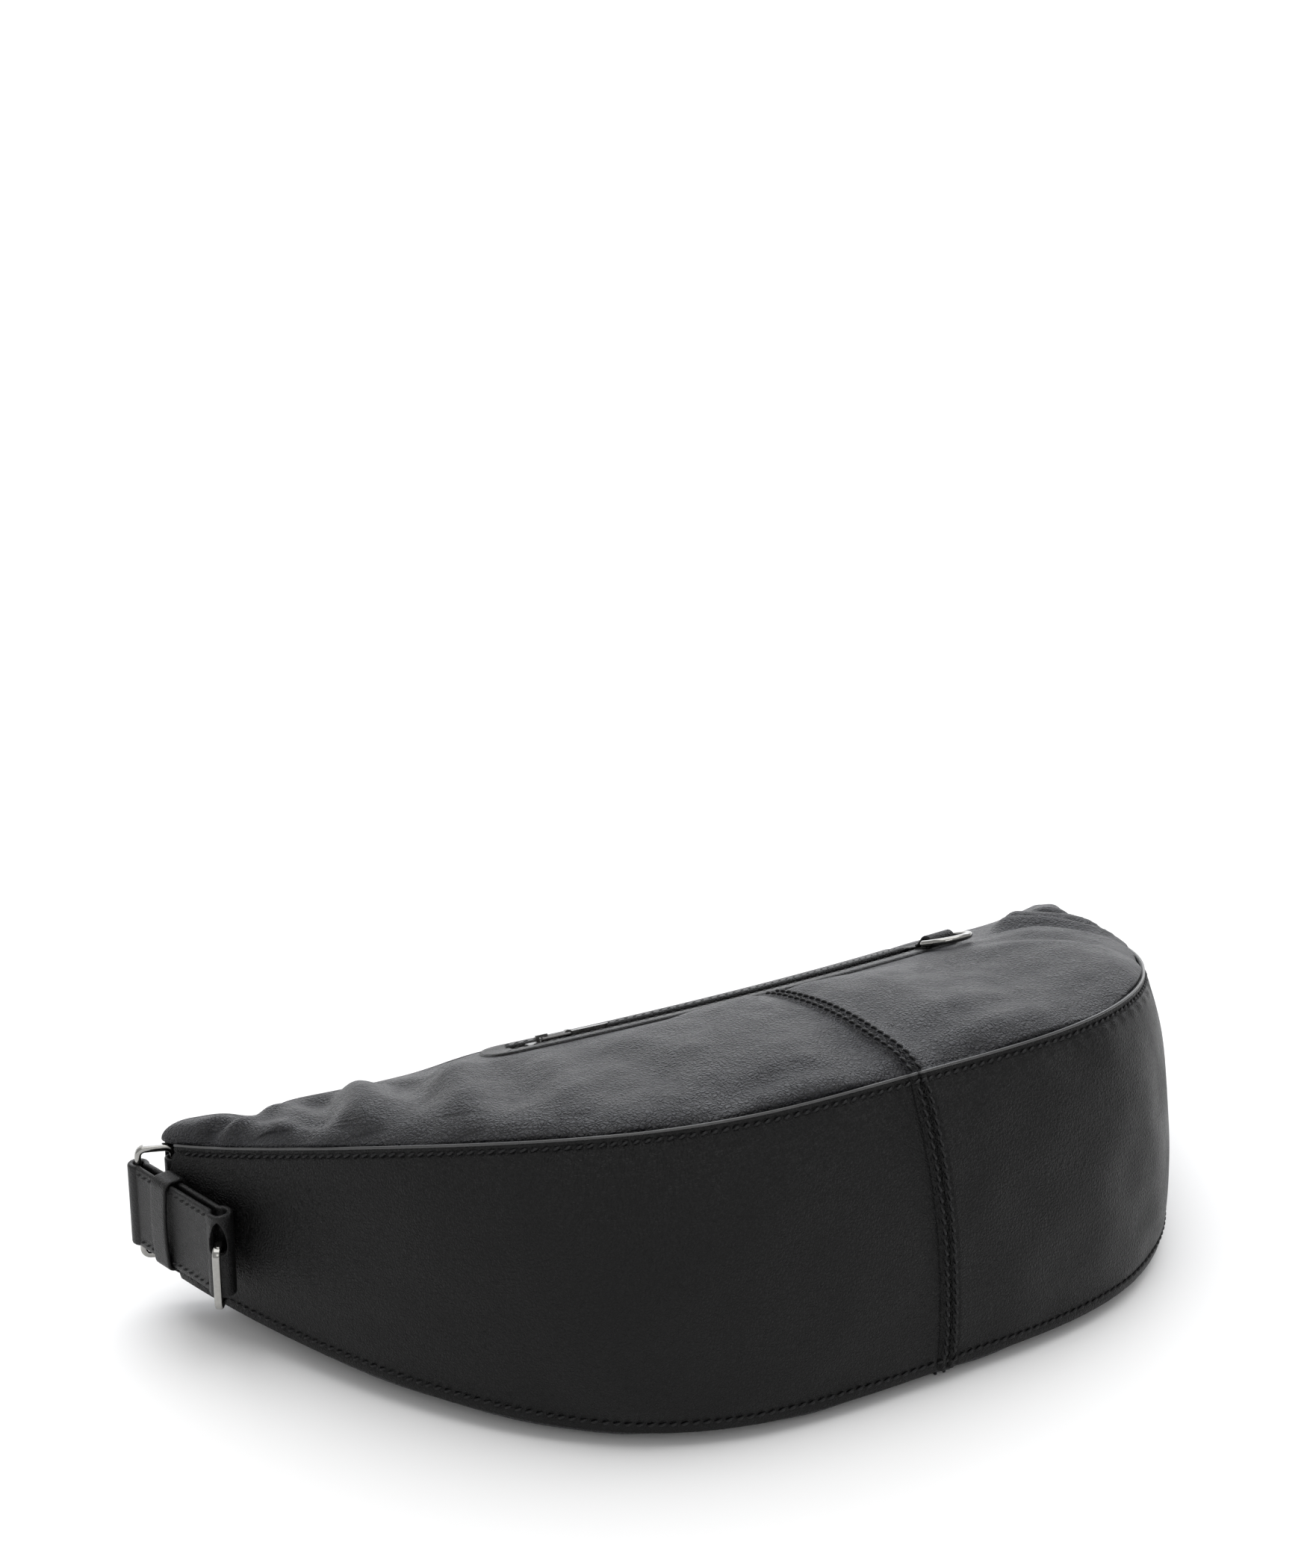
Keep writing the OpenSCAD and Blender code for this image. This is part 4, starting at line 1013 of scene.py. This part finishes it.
# %% Zip frame
ZIP_A = tuple(TOP_R * math.asin(x / TOP_R) for x in (ZIP_MID - ZIP_HALF, ZIP_MID + ZIP_HALF))
FRAME_R = 14.3
BAND_UP = np.array([0.0, math.sin(TILT), math.cos(TILT)])


def bent(flat):
    """Flat band points (along, out, up) carried onto the band's arc."""
    flat = np.asarray(flat, float)
    return on_band(flat[..., 0] / TOP_R, flat[..., 1], flat[..., 2])


def stadium(a0, a1, r, n=150):
    """A loop round the line from a0 to a1 at distance r, as flat band points at height 0."""
    front_side = np.stack([np.linspace(a0, a1, n), np.full(n, r)], -1)
    ends = [arc((0, 0), r, 90, -90, 24) * [0.4, 1] + [a1, 0],
            arc((0, 0), r, -90, -270, 24)[1:-1] * [0.4, 1] + [a0, 0]]
    loop = np.concatenate([front_side[:-1], ends[0], front_side[::-1][1:] * [1, -1], ends[1]])
    return np.concatenate([loop, np.zeros((len(loop), 1))], -1)



def low_end(loop):
    """The frame lies 0.4 low, and 1.2 low round its right end, where the zip's pull comes over it."""
    deep = 0.4 + 0.8 * smooth((loop[:, 0] - ZIP_A[1] + 6) / 6)
    return np.stack([0 * deep, 0 * deep, deep], -1)[:, None]


frame_loop = stadium(ZIP_A[0], ZIP_A[1], FRAME_R)
frame_grid = bent(sweep(frame_loop, (0, 0, 1), rounded(3.0, 11.4, 1.4, 6), closed=True) - low_end(frame_loop))
zip_frame = surface("zip_frame_leather", frame_grid, smooth_hide, wrap_u=True, wrap_v=True, flip=True)
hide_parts("zip_facing_front", "zip_facing_back")
frame_rows = []
frame_run = np.linspace(ZIP_A[0], ZIP_A[1] - 6, 200)
for out in (3.4 - FRAME_R, FRAME_R - 3.4):
    line = bent(np.stack([frame_run, np.full(200, out), np.full(200, 1.0)], -1))
    frame_rows.append((line, np.broadcast_to(BAND_UP, line.shape)))
stitches("zip_frame_stitches", frame_rows, pitch=4.0, long=3.0, thick=0.7, lift=0.0)

# %% Strips from the zip's ends to the tips


def end_strip(name, a, node):
    """A strip as wide as the band, a little domed, that ends in the tip."""
    q = np.sin(a / TOP_R) * TOP_R / HALF
    s = np.linspace(-1, 1, 25)
    w = band_half(q)[:, None] + 0.6
    dome = -0.4 + 0.6 * np.sqrt(np.clip(1 - s ** 4, 0, 1))
    flat = np.stack(np.broadcast_arrays(a[:, None], w * s, dome), -1)
    grid = bent(flat) - tip_drop(q)[:, None, None] * UP
    strip = surface(name, grid, pebbled)
    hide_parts(node)


tip_a = TOP_R * math.asin(HALF * TIP / TOP_R)
end_strip("end_strip_left", np.linspace(-tip_a, ZIP_A[0] + 2, 120), "zip_end_facing_left")
end_strip("end_strip_right", np.linspace(ZIP_A[1] - 2, tip_a, 120), "zip_end_facing_right")
cross_rows = []
for r0, r1 in ((-9.5, -3.9), (3.9, 9.5)):
    cross = bent(np.stack([np.full(12, ZIP_A[1] - 3.5), np.linspace(r0, r1, 12), np.full(12, -0.1)], -1))
    cross_rows.append((cross, np.broadcast_to(BAND_UP, cross.shape)))
stitches("zip_end_cross_stitches", cross_rows, pitch=3.4, long=3.0, thick=0.9, slant=38, lift=0.0)

# %% [markdown]
# ## Rolled tab for the D-ring
# A small strip is rolled round the D-ring's straight bar and sewn down beside the zip.

# %% Rolled tab
D_A, D_R, D_UP, D_LONG = TOP_R * math.asin(100 / TOP_R), 16.0, 3.25, 15.6
roll = arc((D_R, D_UP), 2.5, -128, 128, 22)
section = np.concatenate([[[9.6, 1.0], [11.4, 0.95]], roll, [[11.4, 2.6], [9.6, 2.3]]])
section = smooth_path(section, 0.5)
inner_way = unit(np.gradient(section, axis=0))
square_out = np.stack([inner_way[:, 1], -inner_way[:, 0]], -1)
shell_loop = np.concatenate([section + 0.75 * square_out, (section - 0.75 * square_out)[::-1]])
d_places = np.concatenate([[-D_LONG / 2], np.linspace(-D_LONG / 2 + 0.3, D_LONG / 2 - 0.3, 14), [D_LONG / 2]])
d_flat = np.stack(np.broadcast_arrays(D_A + d_places[:, None], shell_loop[None, :, 0],
                                      shell_loop[None, :, 1]), -1)
d_tab = surface("d_ring_rolled_tab", bent(d_flat), smooth_hide, wrap_v=True, caps=True)
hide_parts("d_ring_tab")
print("zip frame, strips and rolled tab ready")

# %% [markdown]
# ## The long strap
# The strap leaves the right ring, turns behind the bag, runs along it on its edge, doubles
# back and ends in the snap hook. Its edge sinks from the ring's height to the floor.

# %% Long strap
WRAP, BEND, RUN, TURN_R, STRAP_T = 4.1, 16.0, 330.0, 12.0, 2.2
END_X = RING_OUT[0] + WRAP - BEND - RUN
HOOK_X, BACK_Y = END_X + 125, RING_OUT[1] + 10 + BEND
LAYER = WRAP - 2 * STRAP_T - 0.2


def fold_side(t):
    """The sewn-down side of a fold: from the far side of the bar in to just beside the strap."""
    return -WRAP + (LAYER + WRAP) * smooth(t)


bend_at = RING_OUT + [WRAP - BEND, 10]
ease = np.array([0.7, 0.45, 0.2])
eye_plan = np.array([HOOK_X, BACK_Y + 2 * TURN_R + WRAP])
late = np.array([0.25, 0.5, 0.75, 1.0])
strap_plan = np.concatenate([
    arc(bend_at, BEND - 2 * STRAP_T - 0.2, 60, 30, 4), RING_OUT + np.stack([fold_side(ease), 16 * ease], -1),
    arc(RING_OUT, WRAP, 180, 360, 24), arc(bend_at, BEND, 0, 90, 20),
    np.stack([np.linspace(bend_at[0], END_X, 60)[1:-1], np.full(58, BACK_Y)], -1),
    arc((END_X, BACK_Y + TURN_R), TURN_R, -90, -270, 30),
    np.stack([np.linspace(END_X, HOOK_X, 24)[1:-1], np.full(22, BACK_Y + 2 * TURN_R)], -1),
    arc(eye_plan, WRAP, -90, 90, 20),
    np.stack([HOOK_X - 16 * late, BACK_Y + 2 * TURN_R + WRAP - fold_side(late)], -1),
    [[HOOK_X - 28, BACK_Y + 2 * TURN_R + 2 * STRAP_T + 0.2]]])
strap_plan = smooth_path(strap_plan, 1.6)
down = smooth((RING_OUT[0] + WRAP - 8 - strap_plan[:, 0]) / 120)
up_again = smooth((strap_plan[:, 0] - END_X) / 100)
first_run = strap_plan[:, 1] < BACK_Y + TURN_R
low_ring, low_eye = RING_Z - STRAP_W / 2, 4.4
strap_low = np.where(first_run, low_ring + (0.6 - low_ring) * down, 0.6 + (low_eye - 0.6) * up_again)
strap_path = np.concatenate([strap_plan, (strap_low + STRAP_W / 2)[:, None]], -1)
level = np.concatenate([strap_plan, np.zeros((len(strap_plan), 1))], -1)
strap_grid = sweep(level, (0, 0, 1), strip_profile(STRAP_W - 0.4, 4.2, 1.2, 8)) + strap_path[:, None] * UP
strap = surface("long_strap_leather", strap_grid, strap_hide, body="strap", wrap_v=True, flip=True, caps=True)
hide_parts("strap_outer", "strap_lining")
strap_way = unit(np.gradient(level, axis=0))
strap_out = np.stack([strap_way[:, 1], -strap_way[:, 0], np.zeros(len(strap_way))], -1)
strap_rows = []
for side_sign in (-1, 1):
    for edge in (-1, 1):
        line = strap_path + strap_out * side_sign * 2.15 + UP * edge * (STRAP_W / 2 - 2.9)
        strap_rows.append((line[12:-8], (strap_out * side_sign)[12:-8]))
stitches("strap_stitches", strap_rows, body="strap", pitch=4.2, long=3.2, thick=0.8, lift=-0.05)

# %% [markdown]
# ## Inside the bag
# The lining, the board and the pocket are under the leather. Each lining hangs a few
# millimetres inside its wall, with its own soft swells.

# %% Lining and board


def inside(name, shape, deep, material, node, seed):
    """A wall's own plain shape moved inwards, with a soft swell of half a millimetre."""
    q, t = np.linspace(-0.86, 0.86, 150)[:, None], np.linspace(0.05, 0.95, 60)[None, :]
    p, n = shape(q, t), normal_of(shape, q, t)
    h = 0.5 * swell(p[..., 0], p[..., 1] + p[..., 2], 45, seed)
    piece = surface(name, p - n * (deep + h)[..., None], material)
    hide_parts(node)


inside("front_lining_cloth", front_base, 7.0, lining_cloth, "front_lining", 41)
inside("back_lining_cloth", back_base, 8.0, lining_cloth, "back_lining", 42)
inside("gusset_lining_cloth", gusset_base, 5.0, lining_cloth, "gusset_lining", 43)
inside("gusset_board_card", gusset_base, 3.0, board_card, "gusset_board", 44)

# %% [markdown]
# ## Finish of the hard parts
# The hard parts are shown as the model has them, each with its own material, and on the zip's slider,
# the pull's bar, the snap hook and the pocket's pull a small bevel takes the sharpness off the edges so that
# they catch the light.

# %% Hard parts
HARD = {"zip_tape_front": (zip_cloth, "zip_tape"), "zip_tape_back": (zip_cloth, "zip_tape"),
        "zip_teeth_front": (tooth_metal, "zip_metal"), "zip_teeth_back": (tooth_metal, "zip_metal"),
        "zip_stops": (tooth_metal, "zip_metal"), "zip_slider": (gunmetal, "zip_metal"),
        "zip_pull_link": (gunmetal, "polished_metal"), "zip_pull_bar": (gunmetal, "dark_metal"),
        "d_ring": (nickel, "polished_metal"), "hook_eye": (nickel, "polished_metal"),
        "snap_hook": (nickel, "polished_metal"), "hook_gate": (nickel, "polished_metal"),
        "hook_gate_pin": (nickel, "polished_metal"), "pocket_wall": (lining_cloth, "lining"),
        "pocket_zip_tape": (zip_cloth, "zip_tape"), "pocket_zip_teeth": (tooth_metal, "zip_metal"),
        "pocket_slider": (gunmetal, "zip_metal"), "pocket_pull": (gunmetal, "dark_metal")}
BEVELS = {"zip_slider": 0.35, "zip_pull_bar": 0.5, "snap_hook": 0.25, "pocket_pull": 0.3}
for name, (material, slot_name) in HARD.items():
    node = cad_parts[name]
    node.data.materials.clear()
    node.data.materials.append(material)
    if name in BEVELS:
        soft = node.modifiers.new("worn edges", "BEVEL")
        soft.width, soft.segments, soft.limit_method = BEVELS[name] * MM, 3, "ANGLE"
print("hard parts finished:", len(HARD))

# %% [markdown]
# ## Floor, light and finish
# The floor is a wide pale plane that glows a little far from the bag and turns up into a
# backdrop far behind, so no edge shows.
# A long softbox low behind the bag gives the soft sheen along the top panel, a large one
# overhead lights the floor, and a weak one in front keeps the gusset just readable.

# %% Floor and backdrop


def floor_sweep():
    """A level floor that curves up behind in a quarter circle of 1.5 m and goes on straight."""
    turn = np.linspace(0, np.pi / 2, 24)
    reach, r = 36, 1.5
    curve = np.stack([reach + r * np.sin(turn), r - r * np.cos(turn)], -1)
    profile = np.concatenate([[[-reach, 0]], curve, [[reach + r, 26]]])
    x = np.linspace(-30, 30, 3)[:, None]
    grid = np.stack(np.broadcast_arrays(x, profile[:, 0], profile[:, 1]), -1)
    mat, tree, bsdf = nodes_of("pale_floor")
    bsdf.inputs["Base Color"].default_value = (0.93, 0.93, 0.93, 1)
    bsdf.inputs["Roughness"].default_value = 0.9
    bsdf.inputs["Specular IOR Level"].default_value = 0.1
    where = tree.nodes.new("ShaderNodeTexCoord")
    away = tree.nodes.new("ShaderNodeVectorMath")
    away.operation = "LENGTH"
    link(tree, where, "Object", away, "Vector")
    glow = tree.nodes.new("ShaderNodeMapRange")
    glow.inputs["From Min"].default_value, glow.inputs["From Max"].default_value = 1.0, 3.2
    glow.inputs["To Min"].default_value, glow.inputs["To Max"].default_value = 0.0, 0.62
    link(tree, away, "Value", glow, "Value")
    bsdf.inputs["Emission Color"].default_value = (1, 1, 1, 1)
    link(tree, glow, "Result", bsdf, "Emission Strength")
    mesh = bpy.data.meshes.new("floor")
    n = len(profile)
    faces = [[i * n + j, (i + 1) * n + j, (i + 1) * n + j + 1, i * n + j + 1]
             for i in range(2) for j in range(n - 1)]
    mesh.from_pydata(grid.reshape(-1, 3).tolist(), [], faces)
    mesh.polygons.foreach_set("use_smooth", [True] * len(mesh.polygons))
    mesh.materials.append(mat)
    obj = bpy.data.objects.new("floor", mesh)
    obj.rotation_euler = (0, 0, math.radians(-32))
    bpy.context.scene.collection.objects.link(obj)


floor_sweep()

# %% Lights


def softbox(name, place, aim, size, watts, colour=(1, 1, 1)):
    """A rectangular area light at place, turned to face aim."""
    data = bpy.data.lights.new(name, "AREA")
    data.shape, data.size, data.size_y = "RECTANGLE", size[0], size[1]
    data.energy, data.color = watts, colour
    lamp = bpy.data.objects.new(name, data)
    lamp.location = place
    lamp.rotation_euler = (Vector(aim) - Vector(place)).to_track_quat("-Z", "Y").to_euler()
    bpy.context.scene.collection.objects.link(lamp)


softbox("overhead", (0.2, 0.3, 2.4), (0, 0, 0), (3.0, 3.0), 52)
softbox("behind", (1.5, 1.9, 1.35), (0, 0, 0.05), (3.2, 1.3), 24, (0.88, 0.92, 1.0))
softbox("front", (-1.2, -2.2, 1.6), (0, 0, 0.05), (1.6, 1.2), 9)
world = bpy.data.worlds.new("studio")
world.use_nodes = True
world.node_tree.nodes["Background"].inputs["Color"].default_value = (1, 1, 1, 1)
world.node_tree.nodes["Background"].inputs["Strength"].default_value = 0.6
bpy.context.scene.world = world
bpy.context.scene.view_settings.view_transform = "Standard"
